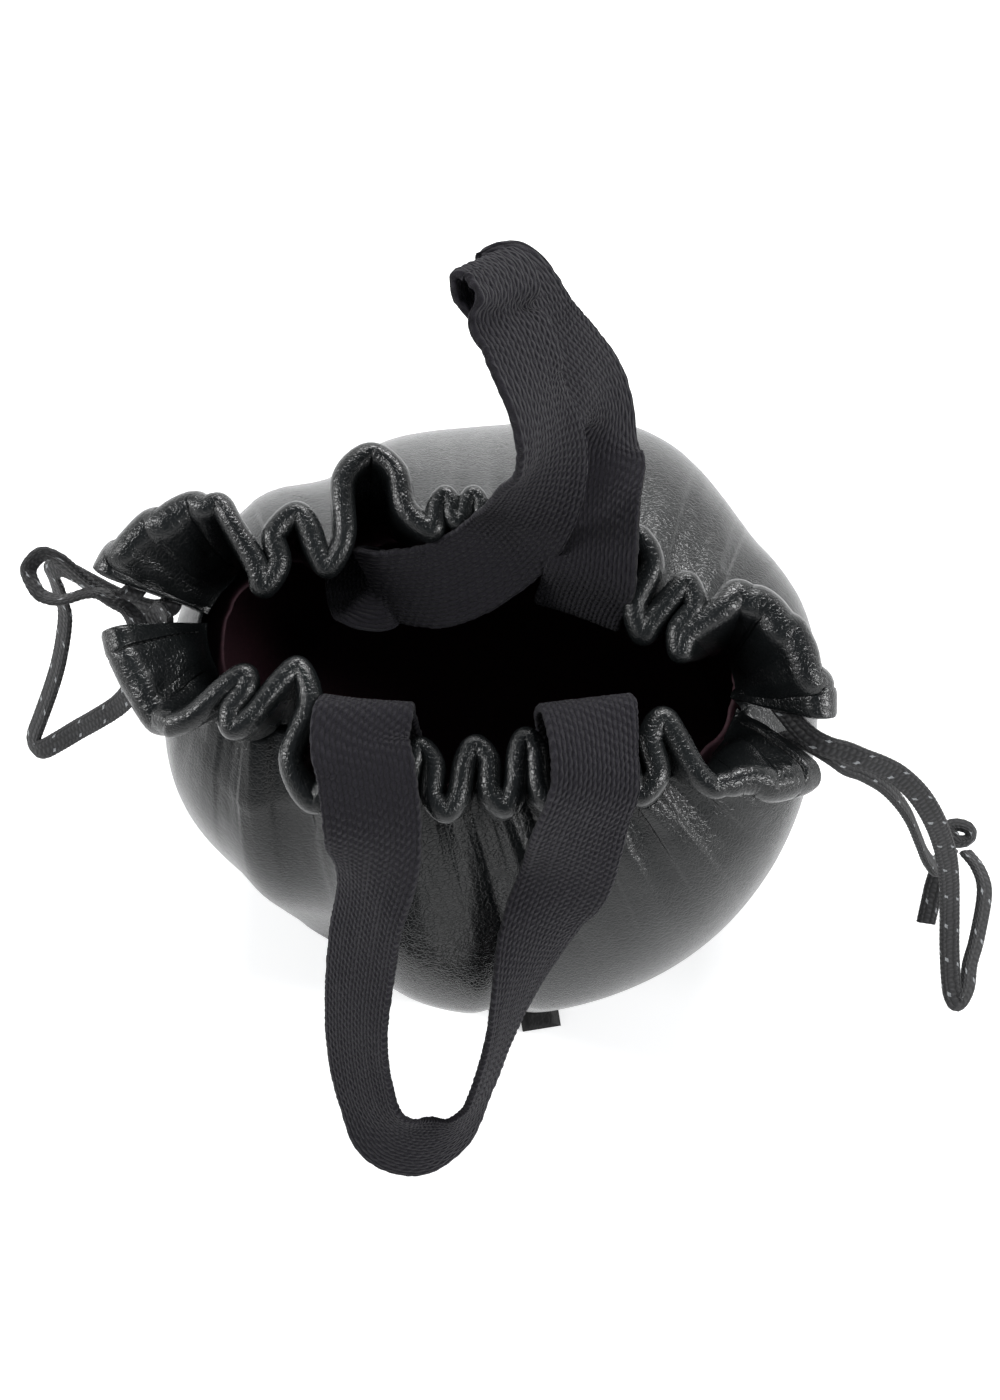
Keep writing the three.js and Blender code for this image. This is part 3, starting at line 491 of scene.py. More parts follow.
def fold_depth(angle, level):
    depth = np.zeros(np.broadcast(angle, level).shape)
    for top, bottom, high, low, width, deep in WALL_FOLDS:
        share = np.clip((level - low) / (high - low), 0, 1)
        off = ((angle - (bottom + (top - bottom) * share) + 180) % 360 - 180) / width
        depth += deep * BELLY_RADIUS * np.exp(-off * off) * np.sin(np.pi * share) ** 0.7
    return depth


def foot_swing(angle):
    """How far the stitch line stands outside the mouth line, round the whole mouth."""
    at, foot = [], []
    for folds in (FRONT_FOLDS, BACK_FOLDS):
        for row in with_limbs(folds):
            at.append(row[0] % 360)
            foot.append(row[1])
    order = np.argsort(at)
    at, foot = np.array(at)[order], np.array(foot)[order]
    return np.interp(angle % 360, at, foot, period=360) * CHANNEL


FOLDS_NOISE = Noise(21)


def wall_grid(angles, levels, inset, creases=1.0):
    angle, level = np.meshgrid(angles, levels)
    base = smooth_wall(angle, level)
    around = np.roll(base, -1, axis=1) - np.roll(base, 1, axis=1)
    upward = np.gradient(base, axis=0)
    outward = unit(np.cross(around, upward))
    flat = outward.copy()
    flat[..., 2] = 0
    flat = flat / np.maximum(np.sum(flat ** 2, axis=-1, keepdims=True), 0.2)
    depth = fold_depth(angle, level)
    share = np.interp(level, RIPPLE_LEVELS, RIPPLE_SHARES)
    swing = foot_swing(angle) * share
    # soft leather: slow dents low down, and pleats that fan out of the stitch line and fade
    slow = 1.3 * FOLDS_NOISE(angle / 26, level * 3.1) * smoothstep(level, 0.02, 0.3)
    fan = FOLDS_NOISE(angle / 3.4 + 3 * level, level * 2.2 + 30)
    pleats = 0.9 * fan * smoothstep(level, 0.55, 0.98) * smoothstep(level, 1.0, 0.97)
    offset = depth + creases * (slow + pleats) - inset
    out2 = mouth_outward(angle)
    swing3 = np.concatenate([out2 * swing[..., None], np.zeros_like(swing)[..., None]], axis=-1)
    return base + flat * offset[..., None] + swing3


BODY_COLUMNS = 900
BODY_LEVELS = 92
BODY_INSIDE_EVERY = 6
BODY_CREASES = 0.4


def body():
    angles = np.arange(BODY_COLUMNS) * 360 / BODY_COLUMNS
    low = (PANEL + SEAM) / BODY_HEIGHT
    levels = low + (1 - low) * np.linspace(0, 1, BODY_LEVELS) ** 0.92
    inside_levels = levels[::BODY_INSIDE_EVERY]
    outer = wall_grid(angles, levels, -LEATHER / 2, BODY_CREASES)
    inner = wall_grid(angles, inside_levels, LEATHER / 2)[::-1]
    grid = np.concatenate([outer, inner])
    run = np.radians(angles) * BELLY_RADIUS
    up = np.concatenate([levels * BODY_HEIGHT, BODY_HEIGHT + (1 - inside_levels[::-1]) * BODY_HEIGHT])
    uv = np.stack(np.broadcast_arrays(run[None, :], up[:, None]), axis=-1)
    piece = grid_piece("body_leather", grid, around=True, along=True, uv=uv)
    face_outward(piece)
    stand_for(piece, "body_shell")
    return piece


body_piece = body()


LINING_COLUMNS = 420
LINING_LEVELS = 70
LINING_INSET = 1.9
LINING_THICK = 1.0
LINING_GATHER = 0.13


def lining():
    angles = np.arange(LINING_COLUMNS) * 360 / LINING_COLUMNS
    low = (PANEL + 2 * SEAM) / BODY_HEIGHT
    levels = low + (LINING_TOP / BODY_HEIGHT - low) * np.linspace(0, 1, LINING_LEVELS)
    def skin(levels, depth):
        angle, level = np.meshgrid(angles, levels)
        base = smooth_wall(angle, level)
        around = np.roll(base, -1, axis=1) - np.roll(base, 1, axis=1)
        outward = unit(np.cross(around, np.gradient(base, axis=0)))
        outward[..., 2] = 0
        flat = outward / np.maximum(np.sum(outward ** 2, axis=-1, keepdims=True), 0.2)
        gathered = np.sqrt(smoothstep(level, 0.7, 0.96)) * (LINING_GATHER * CHANNEL + STITCH_HALF)
        loose = (1.6 * FOLDS_NOISE(angle / 9 + 50, level * 4)
                 + 1.2 * FOLDS_NOISE(angle / 4 + 90 + 3 * level, level * 3))
        loose = (loose - 1.4) * smoothstep(level, 0.1, 0.5) * smoothstep(level, 1.0, 0.9)
        gathered = gathered[..., None]
        drawn = np.concatenate([mouth_outward(angle) * -gathered, 0 * gathered], axis=-1)
        shift = fold_depth(angle, level) - LEATHER / 2 - LINING_INSET - depth + loose
        return base + flat * shift[..., None] + drawn
    outer = skin(levels, 0.0)
    inner = skin(levels, LINING_THICK)[::-1]
    inner[-1, :, 2] += LINING_THICK
    grid = np.concatenate([outer, inner])
    def floor_ring(ring, share, z):
        got = ring * share
        got[:, 2] = z
        return got
    bottom = PANEL + 2 * SEAM
    shares = (0.75, 0.5, 0.25, 0.02)
    under = [floor_ring(outer[0], s, bottom) for s in shares[::-1]]
    over = [floor_ring(inner[-1], s, bottom + LINING_THICK) for s in shares]
    grid = np.concatenate([np.array(under), grid, np.array(over)])
    piece = grid_piece("lining_cloth", grid, around=True, caps=True)
    face_outward(piece)
    stand_for(piece, "lining")
    return piece


lining_piece = lining()


# Base: a round panel with a rolled edge, and the binding's tab
def base():
    radius = BASE_RADIUS + LEATHER
    profile = [(radius - 2.6, 0.0), (radius - 0.9, 0.35), (radius, 1.1), (radius + 0.1, 1.8),
               (radius - 0.5, 2.6), (radius - 1.6, PANEL), (radius - 6, PANEL)]
    turn = 2 * np.pi * np.arange(240) / 240
    rings = [(2.0, 0.0), (40.0, 0.0), (80.0, 0.0)] + profile + [(60.0, PANEL), (2.0, PANEL)]
    grid = np.array([[(r * math.cos(t), r * math.sin(t), z) for t in turn] for r, z in rings])
    piece = grid_piece("base_panel_leather", grid, around=True, caps=True)
    face_outward(piece)
    stand_for(piece, "base_panel")
    turn = math.radians(279)
    s = np.linspace(-1, 1, 15)
    u, v = np.meshgrid(s, s)
    def face(sign):
        x = BASE_RADIUS + LEATHER + SEAM + 4.5 + 4.5 * u
        y = 8.5 * v
        puff = 0.75 + 0.25 * np.clip(1 - np.maximum(abs(u), abs(v)) ** 6, 0, 1)
        z = SEAM + 1.0 + sign * puff
        return np.stack([x, y, z], axis=-1)
    def outline(g):
        return np.concatenate([g[0], g[1:, -1], g[-1, ::-1][1:], g[::-1, 0][1:-1]])
    top, under = face(1), face(-1)
    rows = []
    for g, shares in ((under, (0.0, 0.5, 1.0)), (top, (1.0, 0.5, 0.0))):
        ring = outline(g)
        middle = ring.mean(axis=0)
        for k in shares:
            rows.append(middle + (ring - middle) * max(k, 0.02))
    grid = np.array(rows)
    c, w = math.cos(turn), math.sin(turn)
    x, y, z = grid[..., 0], grid[..., 1], grid[..., 2]
    grid = np.stack([x * c - y * w, x * w + y * c, z], axis=-1)
    tab = grid_piece("base_tab_leather", grid, around=True, caps=True)
    face_outward(tab)
    stand_for(tab, "base_tab")


base()


# Handles: along, out, rise, heading, tilt, as in the solids
FRONT_HANDLE = [
    (-0.89, -0.19, -0.16, -12, 0), (-0.89, -0.15, -0.02, 4, -12), (-0.92, -0.06, 0, 2, -8),
    (-0.86, 0.03, -0.01, 2, 0), (-0.82, 0.17, -0.09, 6, 4), (-0.91, 0.31, -0.34, 321, 17),
    (-1.04, 0.45, -0.53, 322, 18), (-1.13, 0.61, -0.7, 325, 24), (-1.13, 0.75, -0.84, 335, 29),
    (-1.03, 0.88, -0.94, 350, 35), (-0.8, 0.97, -1.02, 33, 30), (-0.48, 0.99, -1.07, 73, 44),
    (-0.18, 0.95, -1.09, 131, 68), (0.05, 0.85, -1.07, 222, 62), (0.24, 0.72, -0.97, 231, 48),
    (0.39, 0.6, -0.85, 226, 37), (0.52, 0.49, -0.7, 211, 30), (0.69, 0.36, -0.53, 185, 20),
    (0.88, 0.26, -0.37, 164, 4), (0.99, 0.16, -0.13, 180, 18), (1.1, 0.07, 0, 182, 26),
    (1.09, -0.04, 0.035, 188, 24), (1.05, -0.15, 0, 190, 12), (1.02, -0.18, -0.16, 186, 0),
]
BACK_HANDLE = [
    (-1, -0.95, -0.34, 10, 40), (-0.86, -1.02, -0.26, 50, 66), (-0.62, -1.1, -0.22, 84, 56),
    (-0.3, -1.13, -0.18, 94, 44), (0.03, -1, -0.12, 108, 40), (0.32, -0.8, -0.04, 134, 38),
    (0.52, -0.7, 0.14, 168, 34), (0.64, -0.55, 0.41, 205, 24), (0.64, -0.42, 0.63, 240, 15),
    (0.56, -0.13, 0.75, 246, 20), (0.43, 0.37, 0.8, 238, 27), (0.32, 0.68, 0.82, 235, 31),
    (0.34, 0.88, 0.85, 226, 37), (0.27, 1.12, 0.86, 229, 37), (0.15, 1.23, 0.85, 230, 35.7),
    (0.15, 1.09, 0.81, 233, 34), (0.27, 0.94, 0.78, 239, 30), (0.48, 1.15, 0.71, 245, 20),
    (0.73, 0.87, 0.57, 251, 2), (1.02, 0.76, 0.41, 258, -6), (1.15, 0.68, 0.31, 250, -2),
    (1.19, 0.5, 0.25, 234, 6), (1.14, 0.18, 0.2, 205, 0), (1.15, -0.2, 0.13, 180, -26),
    (1.13, -1.16, 0.04, 170, -34), (1.05, -1.34, -0.13, 160, -28), (1.02, -1.37, -0.28, 155, -14),
]
HANDLE_SPAN = 35.0
FRONT_REACH = 115.0
FRONT_DROP = 124.0
BACK_RISE = 100.0
BACK_LEAN = 24.0
STRAP_SAG = 1.4
ROOT_DEPTH = 10.0


def lining_top(angle):
    """The lining's inner edge at its top, as the solids have it."""
    level = LINING_TOP / BODY_HEIGHT
    low = min(level, 0.96)
    around = smooth_wall(np.array(angle + 1.0), low) - smooth_wall(np.array(angle - 1.0), low)
    upward = smooth_wall(np.array(float(angle)), low + 0.02) - smooth_wall(np.array(float(angle)), low - 0.02)
    outward = unit(np.cross(around, upward))
    flat = np.array([outward[0], outward[1], 0.0])
    flat = flat / flat.dot(flat)
    gathered = LINING_GATHER * CHANNEL + STITCH_HALF
    drawn = np.append(mouth_outward(angle) * -gathered, 0.0)
    shift = float(fold_depth(np.array(float(angle)), level)) - LEATHER / 2 - LINING_INSET - LINING_THICK
    return smooth_wall(np.array(float(angle)), level) + flat * shift + drawn


def strap_line(rows, place, roots):
    """Centres and width directions of a handle's stations."""
    seat = SEAM + STRAP_SAG + STRAP_THICK / 2
    def root(angle, side):
        outward = np.append(mouth_outward(angle), 0.0)
        width = np.array([-outward[1], outward[0], 0.0]) * side
        top = lining_top(angle) - outward * seat
        return [(np.array([top[0], top[1], LINING_TOP - ROOT_DEPTH]), width),
                (np.array([top[0], top[1], LINING_TOP]), width)]
    stations = root(*roots[0])
    for along, out, rise, heading, tilt in rows:
        flat = math.cos(math.radians(tilt))
        width = np.array([flat * math.cos(math.radians(heading)), flat * math.sin(math.radians(heading)),
                          math.sin(math.radians(tilt))])
        stations.append((place(along, out, rise), width))
    stations += root(*roots[1])[::-1]
    return np.array([s[0] for s in stations]), np.array([s[1] for s in stations])


def front_place(along, out, rise):
    crest = BODY_HEIGHT + CHANNEL + STRAP_CLEARANCE + STRAP_THICK
    return np.array([MOUTH_CENTRE[0] + along * HANDLE_SPAN, MOUTH_CENTRE[1] - MOUTH_B - out * FRONT_REACH,
                     crest + rise * FRONT_DROP])


def back_place(along, out, rise):
    return np.array([MOUTH_CENTRE[0] + along * HANDLE_SPAN, MOUTH_CENTRE[1] + MOUTH_B + out * BACK_LEAN,
                     BODY_HEIGHT + CHANNEL + rise * BACK_RISE])


def centripetal(p, per_span):
    """Centripetal Catmull-Rom curve, which doesn't overshoot where the stations are uneven."""
    q = np.vstack([2 * p[0] - p[1], p, 2 * p[-1] - p[-2]])
    out = []
    for i in range(1, len(p)):
        a, b, c, d = q[i - 1], q[i], q[i + 1], q[i + 2]
        ta = 0.0
        tb = ta + max(np.linalg.norm(b - a), 1e-4) ** 0.5
        tc = tb + max(np.linalg.norm(c - b), 1e-4) ** 0.5
        td = tc + max(np.linalg.norm(d - c), 1e-4) ** 0.5
        t = (tb + (tc - tb) * np.arange(per_span) / per_span)[:, None]
        ab = (tb - t) / (tb - ta) * a + (t - ta) / (tb - ta) * b
        bc = (tc - t) / (tc - tb) * b + (t - tb) / (tc - tb) * c
        cd = (td - t) / (td - tc) * c + (t - tc) / (td - tc) * d
        abc = (tc - t) / (tc - ta) * ab + (t - ta) / (tc - ta) * bc
        bcd = (td - t) / (td - tb) * bc + (t - tb) / (td - tb) * cd
        out.append((tc - t) / (tc - tb) * abc + (t - tb) / (tc - tb) * bcd)
    out.append(p[-1:])
    return np.vstack(out)


STRAP_PER_SPAN = 24
STRAP_STEP = 0.62
STRAP_COLUMNS = 40
RIB_PITCH = 3.1
RIB_WIDTH = 1.6


def webbing_strap(name, node, rows, place, roots, seed):
    centres, widths = strap_line(rows, place, roots)
    line = centripetal(centres, STRAP_PER_SPAN)
    width = catmull(widths, STRAP_PER_SPAN)
    s = running_length(line)
    n = int(s[-1] / STRAP_STEP)
    t = np.linspace(0, s[-1], n + 1)
    line = np.stack([np.interp(t, s, line[:, k]) for k in range(3)], axis=1)
    width = np.stack([np.interp(t, s, width[:, k]) for k in range(3)], axis=1)
    travel = unit(np.gradient(line, axis=0))
    width = unit(width - np.sum(width * travel, axis=1, keepdims=True) * travel)
    face = np.cross(travel, width)
    # Section: rounded edges, ribs along the webbing, and a little cupping across it
    across = np.linspace(-1, 1, STRAP_COLUMNS)
    x = np.sign(across) * (1 - (1 - np.abs(across)) ** 1.35) * STRAP_WIDTH / 2
    edge = np.clip((STRAP_WIDTH / 2 - np.abs(x)) / 1.3, 0, 1)
    thick = STRAP_THICK / 2 * np.sqrt(np.clip(1 - (1 - edge) ** 2, 0.0, 1))
    wander = Noise(31 + seed)
    row = t[:, None]
    phase = row / RIB_PITCH + 0.5 * np.floor(x[None, :] / RIB_WIDTH) % 1.0
    rib = 0.16 * np.sin(2 * np.pi * phase) * np.clip(edge, 0.2, 1)[None, :]
    cup = 0.5 * (x[None, :] / 15) ** 2 * wander(row / 40, 0 * row + 5)
    slub = 0.10 * wander(row / 1.4, x[None, :] / 1.4)
    ragged = 0.22 * wander(row / 1.1 + 70, 0 * row) * (np.abs(x) > 14)[None, :] * np.sign(x)[None, :]
    def skin(side):
        w = x[None, :] + ragged
        f = side * (thick[None, :] + rib + slub) + cup
        return line[:, None] + width[:, None] * w[..., None] + face[:, None] * f[..., None]
    top, under = skin(1), skin(-1)
    grid = np.concatenate([top, under[:, ::-1][:, 1:-1]], axis=1)
    xs = np.concatenate([x + 15, 45 - x[::-1][1:-1]])
    uv = np.stack(np.broadcast_arrays(row, xs[None, :]), axis=-1)
    piece = grid_piece(name, grid, around=True, caps=True, uv=uv)
    face_outward(piece)
    stand_for(piece, node)
    return piece


handle_front = webbing_strap("handle_front_webbing", "handle_front", FRONT_HANDLE, front_place,
                             [(254, 1), (299, -1)], 0)
handle_back = webbing_strap("handle_back_webbing", "handle_back", BACK_HANDLE, back_place,
                            [(118, -1), (66, 1)], 5)


# Stitches: short thread beads in the grooves of the hem strips at the channels' ends
STITCH_PLACE = 6.8
STITCH_PITCH = 3.0
STITCH_LENGTH = 2.2
STITCH_RADIUS = 0.28


def stitch_row(name, points, normals, pitch, length, radius):
    s = running_length(points)
    places = np.arange(pitch / 2, s[-1], pitch)
    sides = 6
    verts, faces = [], []
    for m in places:
        ends = []
        for d in (-length / 2, -length / 4, 0.0, length / 4, length / 2):
            p = np.array([np.interp(m + d, s, points[:, k]) for k in range(3)])
            n = np.array([np.interp(m + d, s, normals[:, k]) for k in range(3)])
            n = n / max(np.linalg.norm(n), 1e-6)
            dip = 0.9 * (abs(d) / (length / 2)) ** 2 * radius
            ends.append((p + n * (radius * 0.5 - dip), n, d))
        t = unit(ends[-1][0] - ends[0][0])
        start = len(verts)
        for p, n, d in ends:
            b = np.cross(t, n)
            r = radius * (0.75 if abs(d) > length / 3 else 1.0)
            for k in range(sides):
                a = 2 * math.pi * k / sides
                verts.append(p + b * r * math.cos(a) + n * r * math.sin(a))
        for i in range(4):
            for k in range(sides):
                a, b = start + i * sides + k, start + i * sides + (k + 1) % sides
                faces.append([a, b, b + sides, a + sides])
        faces.append([start + k for k in range(sides)][::-1])
        faces.append([start + 4 * sides + k for k in range(sides)])
    mesh = bpy.data.meshes.new(name)
    mesh.from_pydata((np.array(verts) * MM).tolist(), [], faces)
    mesh.polygons.foreach_set("use_smooth", [True] * len(mesh.polygons))
    mesh.update()
    piece = bpy.data.objects.new(name, mesh)
    bpy.context.collection.objects.link(piece)
    face_outward(piece)
    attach(piece, "root")
    return piece


stitch_pieces = []
for label, facts in (("front", front_facts), ("back", back_facts)):
    run = facts["run"]
    for end_name, where in (("left", STITCH_PLACE), ("right", run[-1] - STITCH_PLACE)):
        k = int(np.searchsorted(run, where))
        for side_name, side in (("outer", 1), ("inner", -1)):
            line = facts["centre"][k] + facts["out"][k] * (side * facts["full"][k])[:, None]
            keep = slice(4, 24)
            stitch_pieces.append(stitch_row(f"stitches_{label}_{end_name}_{side_name}", line[keep],
                                            facts["out"][k][keep] * side,
                                            STITCH_PITCH, STITCH_LENGTH, STITCH_RADIUS))


# Materials
def new_material(name):
    material = bpy.data.materials.new(name)
    material.use_nodes = True
    nodes, links = material.node_tree.nodes, material.node_tree.links
    return material, nodes, links, nodes["Principled BSDF"]


def add(nodes, kind, **values):
    node = nodes.new(kind)
    for key, value in values.items():
        if key.startswith("in_"):
            node.inputs[key[3:].replace("_", " ")].default_value = value
        else:
            setattr(node, key, value)
    return node


def ramp(nodes, low, high, a=(0, 0, 0, 1), b=(1, 1, 1, 1)):
    node = nodes.new("ShaderNodeValToRGB")
    node.color_ramp.elements[0].position = low
    node.color_ramp.elements[1].position = high
    node.color_ramp.elements[0].color = a
    node.color_ramp.elements[1].color = b
    return node


def leather_material(name, dark, light, rough_low, rough_high, grain):
    material, nodes, links, shader = new_material(name)
    coords = add(nodes, "ShaderNodeTexCoord")
    cells = add(nodes, "ShaderNodeTexVoronoi", in_Scale=620.0)
    cells.feature = "DISTANCE_TO_EDGE"
    warp = add(nodes, "ShaderNodeTexNoise", in_Scale=260.0, in_Detail=3.0)
    mixed = add(nodes, "ShaderNodeMix", data_type="RGBA", in_Factor=0.004)
    links.new(coords.outputs["Object"], mixed.inputs["A"])
    links.new(coords.outputs["Object"], warp.inputs["Vector"])
    links.new(warp.outputs["Color"], mixed.inputs["B"])
    links.new(mixed.outputs["Result"], cells.inputs["Vector"])
    pores = ramp(nodes, 0.0, 0.16)
    links.new(cells.outputs["Distance"], pores.inputs["Fac"])
    lines = add(nodes, "ShaderNodeTexNoise", in_Scale=330.0, in_Detail=5.0, in_Roughness=0.65)
    links.new(coords.outputs["Object"], lines.inputs["Vector"])
    patches = add(nodes, "ShaderNodeTexNoise", in_Scale=26.0, in_Detail=4.0, in_Roughness=0.6)
    links.new(coords.outputs["Object"], patches.inputs["Vector"])
    tint = ramp(nodes, 0.3, 0.75, dark, light)
    links.new(patches.outputs["Fac"], tint.inputs["Fac"])
    links.new(tint.outputs["Color"], shader.inputs["Base Color"])
    rough = add(nodes, "ShaderNodeMapRange")
    rough.inputs["To Min"].default_value = rough_low
    rough.inputs["To Max"].default_value = rough_high
    links.new(patches.outputs["Fac"], rough.inputs["Value"])
    links.new(rough.outputs["Result"], shader.inputs["Roughness"])
    total = add(nodes, "ShaderNodeMath", operation="ADD")
    scaled = add(nodes, "ShaderNodeMath", operation="MULTIPLY")
    scaled.inputs[1].default_value = 1.4
    links.new(lines.outputs["Fac"], scaled.inputs[0])
    links.new(pores.outputs["Color"], total.inputs[0])
    links.new(scaled.outputs["Value"], total.inputs[1])
    bump = add(nodes, "ShaderNodeBump", in_Strength=grain, in_Distance=0.00016)
    links.new(total.outputs["Value"], bump.inputs["Height"])
    links.new(bump.outputs["Normal"], shader.inputs["Normal"])
    shader.inputs["Specular IOR Level"].default_value = 0.5
    return material


leather_mat = leather_material("black_leather", (0.0035, 0.0042, 0.0045, 1), (0.009, 0.0105, 0.011, 1),
                               0.19, 0.32, 0.42)
base_mat = leather_material("matt_base_leather", (0.004, 0.004, 0.0042, 1), (0.008, 0.008, 0.0085, 1),
                            0.45, 0.6, 0.5)


def weave_height(nodes, links, pitch_u, pitch_v):
    """Height of a woven surface from its UV, in which one unit is a metre."""
    coords = add(nodes, "ShaderNodeUVMap", uv_map="UVMap")
    split = add(nodes, "ShaderNodeSeparateXYZ")
    jitter = add(nodes, "ShaderNodeTexNoise", in_Scale=420.0, in_Detail=2.0)
    links.new(coords.outputs["UV"], jitter.inputs["Vector"])
    shift = add(nodes, "ShaderNodeVectorMath", operation="MULTIPLY_ADD")
    shift.inputs[1].default_value = (0.0009, 0.0009, 0.0)
    links.new(jitter.outputs["Color"], shift.inputs[0])
    links.new(coords.outputs["UV"], shift.inputs[2])
    links.new(shift.outputs["Vector"], split.inputs["Vector"])
    def wave(source, pitch, other=None, slant=0.0):
        scaled = add(nodes, "ShaderNodeMath", operation="MULTIPLY")
        scaled.inputs[1].default_value = 2 * math.pi / pitch
        links.new(source, scaled.inputs[0])
        value = scaled.outputs["Value"]
        if other is not None:
            more = add(nodes, "ShaderNodeMath", operation="MULTIPLY_ADD")
            more.inputs[1].default_value = slant
            links.new(other, more.inputs[0])
            links.new(value, more.inputs[2])
            value = more.outputs["Value"]
        sine = add(nodes, "ShaderNodeMath", operation="SINE")
        links.new(value, sine.inputs[0])
        return sine.outputs["Value"]
    warp = wave(split.outputs["Y"], pitch_v)
    weft = wave(split.outputs["X"], pitch_u, split.outputs["Y"], math.pi / pitch_v)
    product = add(nodes, "ShaderNodeMath", operation="MULTIPLY")
    links.new(warp, product.inputs[0])
    links.new(weft, product.inputs[1])
    ribs = add(nodes, "ShaderNodeMath", operation="ABSOLUTE")
    links.new(warp, ribs.inputs[0])
    total = add(nodes, "ShaderNodeMath", operation="MULTIPLY_ADD")
    total.inputs[1].default_value = 0.6
    links.new(product.outputs["Value"], total.inputs[0])
    links.new(ribs.outputs["Value"], total.inputs[2])
    return total.outputs["Value"], split


def webbing_material():
    material, nodes, links, shader = new_material("black_webbing")
    height, _ = weave_height(nodes, links, 0.0031, 0.0032)
    fibres = add(nodes, "ShaderNodeTexNoise", in_Scale=1500.0, in_Detail=4.0, in_Roughness=0.7)
    coords = add(nodes, "ShaderNodeTexCoord")
    links.new(coords.outputs["Object"], fibres.inputs["Vector"])
    total = add(nodes, "ShaderNodeMath", operation="MULTIPLY_ADD")
    total.inputs[1].default_value = 0.9
    links.new(fibres.outputs["Fac"], total.inputs[0])
    links.new(height, total.inputs[2])
    tint = ramp(nodes, 0.1, 1.5, (0.0022, 0.0020, 0.0028, 1), (0.0155, 0.014, 0.0195, 1))
    links.new(total.outputs["Value"], tint.inputs["Fac"])
    links.new(tint.outputs["Color"], shader.inputs["Base Color"])
    bump = add(nodes, "ShaderNodeBump", in_Strength=1.0, in_Distance=0.0008)
    links.new(total.outputs["Value"], bump.inputs["Height"])
    links.new(bump.outputs["Normal"], shader.inputs["Normal"])
    shader.inputs["Roughness"].default_value = 0.9
    shader.inputs["Specular IOR Level"].default_value = 0.25
    shader.inputs["Sheen Weight"].default_value = 0.05
    shader.inputs["Sheen Roughness"].default_value = 0.5
    return material


def braid_material():
    material, nodes, links, shader = new_material("black_braid")
    height, split = weave_height(nodes, links, 0.0021, 0.0026)
    tint = ramp(nodes, 0.0, 1.3, (0.003, 0.003, 0.0032, 1), (0.02, 0.02, 0.022, 1))
    links.new(height, tint.inputs["Fac"])
    # light flecks: three on each slanting row, the rows some 15 mm apart
    slanted = add(nodes, "ShaderNodeMath", operation="MULTIPLY_ADD")
    slanted.inputs[1].default_value = 1.3
    links.new(split.outputs["Y"], slanted.inputs[0])
    links.new(split.outputs["X"], slanted.inputs[2])
    along = add(nodes, "ShaderNodeMath", operation="PINGPONG")
    along.inputs[1].default_value = 0.0075
    links.new(slanted.outputs["Value"], along.inputs[0])
    near = add(nodes, "ShaderNodeMath", operation="LESS_THAN")
    near.inputs[1].default_value = 0.0007
    links.new(along.outputs["Value"], near.inputs[0])
    across = add(nodes, "ShaderNodeMath", operation="PINGPONG")
    across.inputs[1].default_value = 0.0013
    links.new(split.outputs["Y"], across.inputs[0])
    dot = add(nodes, "ShaderNodeMath", operation="LESS_THAN")
    dot.inputs[1].default_value = 0.00042
    links.new(across.outputs["Value"], dot.inputs[0])
    fleck = add(nodes, "ShaderNodeMath", operation="MULTIPLY")
    links.new(near.outputs["Value"], fleck.inputs[0])
    links.new(dot.outputs["Value"], fleck.inputs[1])
    colour = add(nodes, "ShaderNodeMix", data_type="RGBA")
    colour.inputs["B"].default_value = (0.26, 0.27, 0.28, 1)
    links.new(fleck.outputs["Value"], colour.inputs["Factor"])
    links.new(tint.outputs["Color"], colour.inputs["A"])
    links.new(colour.outputs["Result"], shader.inputs["Base Color"])
    bump = add(nodes, "ShaderNodeBump", in_Strength=0.8, in_Distance=0.0003)
    links.new(height, bump.inputs["Height"])
    links.new(bump.outputs["Normal"], shader.inputs["Normal"])
    shader.inputs["Roughness"].default_value = 0.62
    return material


def lining_material():
    material, nodes, links, shader = new_material("plum_cloth")
    coords = add(nodes, "ShaderNodeTexCoord")
    weave = add(nodes, "ShaderNodeTexNoise", in_Scale=900.0, in_Detail=3.0)
    links.new(coords.outputs["Object"], weave.inputs["Vector"])
    tint = ramp(nodes, 0.3, 0.7, (0.032, 0.010, 0.016, 1), (0.060, 0.018, 0.028, 1))
    links.new(weave.outputs["Fac"], tint.inputs["Fac"])
    links.new(tint.outputs["Color"], shader.inputs["Base Color"])
    bump = add(nodes, "ShaderNodeBump", in_Strength=0.4, in_Distance=0.0002)
    links.new(weave.outputs["Fac"], bump.inputs["Height"])
    links.new(bump.outputs["Normal"], shader.inputs["Normal"])
    shader.inputs["Roughness"].default_value = 0.75
    return material


def thread_material():
    material, nodes, links, shader = new_material("black_thread")
    coords = add(nodes, "ShaderNodeTexCoord")
    twist = add(nodes, "ShaderNodeTexNoise", in_Scale=1800.0)
    links.new(coords.outputs["Object"], twist.inputs["Vector"])
    tint = ramp(nodes, 0.3, 0.7, (0.002, 0.002, 0.002, 1), (0.008, 0.008, 0.008, 1))
    links.new(twist.outputs["Fac"], tint.inputs["Fac"])
    links.new(tint.outputs["Color"], shader.inputs["Base Color"])
    shader.inputs["Roughness"].default_value = 0.6
    return material


webbing_mat = webbing_material()
braid_mat = braid_material()
lining_mat = lining_material()
thread_mat = thread_material()


def dress(piece, material):
    piece.data.materials.clear()
    piece.data.materials.append(material)


for piece in (casing_front, casing_back, body_piece):
    dress(piece, leather_mat)
for name in ("base_panel_leather", "base_tab_leather"):
    dress(bpy.data.objects[name], base_mat)
for piece in (handle_front, handle_back):
    dress(piece, webbing_mat)
for piece in list(cords.values()) + [knot_piece]:
    dress(piece, braid_mat)
dress(lining_piece, lining_mat)
for piece in stitch_pieces:
    dress(piece, thread_mat)


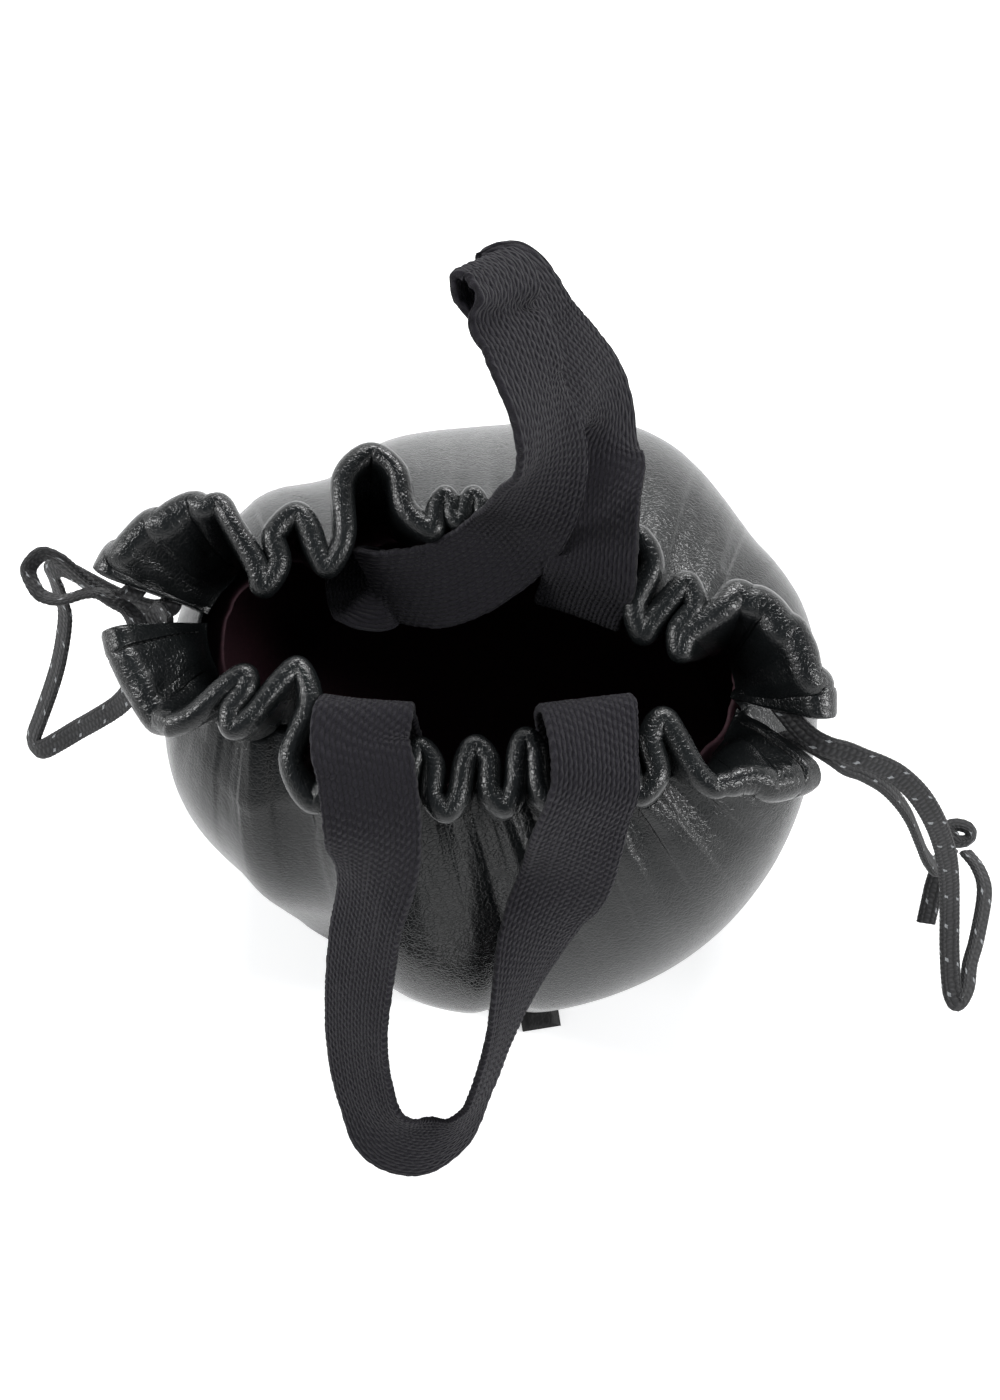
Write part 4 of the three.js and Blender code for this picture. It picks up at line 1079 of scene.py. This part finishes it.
# Floor, backdrop and light
FLOOR_HALF = 3.0
FLOOR_GLOW = 0.42
ROOM_LIGHT = 1.35


def stage():
    corners = ((-1, -1), (1, -1), (1, 1), (-1, 1))
    mesh = bpy.data.meshes.new("floor")
    mesh.from_pydata([(x * FLOOR_HALF, y * FLOOR_HALF, 0) for x, y in corners], [], [(0, 1, 2, 3)])
    floor = bpy.data.objects.new("floor", mesh)
    bpy.context.collection.objects.link(floor)
    material, nodes, links, shader = new_material("white_floor")
    shader.inputs["Base Color"].default_value = (0.93, 0.93, 0.93, 1)
    shader.inputs["Roughness"].default_value = 0.9
    shader.inputs["Emission Color"].default_value = (1.0, 1.0, 1.0, 1)
    shader.inputs["Emission Strength"].default_value = FLOOR_GLOW
    mesh.materials.append(material)

    def area(name, place, aim, size, power):
        data = bpy.data.lights.new(name, "AREA")
        data.shape = "RECTANGLE"
        data.size, data.size_y = size
        data.energy = power
        lamp = bpy.data.objects.new(name, data)
        lamp.location = place
        direction = np.array(aim) - np.array(place)
        yaw = math.atan2(direction[0], -direction[1])
        pitch = math.acos(-direction[2] / np.linalg.norm(direction))
        lamp.rotation_euler = (pitch, 0, yaw + math.pi)
        bpy.context.collection.objects.link(lamp)

    area("back_soft", (0.15, 1.15, 1.0), (0, 0, 0.2), (0.9, 0.22), 16.0)
    area("left_soft", (-1.0, 0.15, 0.9), (0, 0, 0.2), (0.16, 0.8), 8.0)
    area("right_soft", (0.95, -0.25, 0.9), (0, 0, 0.2), (0.16, 0.8), 8.0)

    # A white room that is brightest near the horizon
    world = bpy.data.worlds.new("studio")
    bpy.context.scene.world = world
    world.use_nodes = True
    nodes, links = world.node_tree.nodes, world.node_tree.links
    background = nodes["Background"]
    coords = add(nodes, "ShaderNodeTexCoord")
    split = add(nodes, "ShaderNodeSeparateXYZ")
    links.new(coords.outputs["Generated"], split.inputs["Vector"])
    shade = ramp(nodes, 0.12, 0.72, (1.0, 1.0, 1.0, 1), (0.10, 0.11, 0.12, 1))
    links.new(split.outputs["Z"], shade.inputs["Fac"])
    links.new(shade.outputs["Color"], background.inputs["Color"])
    background.inputs["Strength"].default_value = ROOM_LIGHT


bpy.context.scene.view_settings.view_transform = "Standard"
stage()
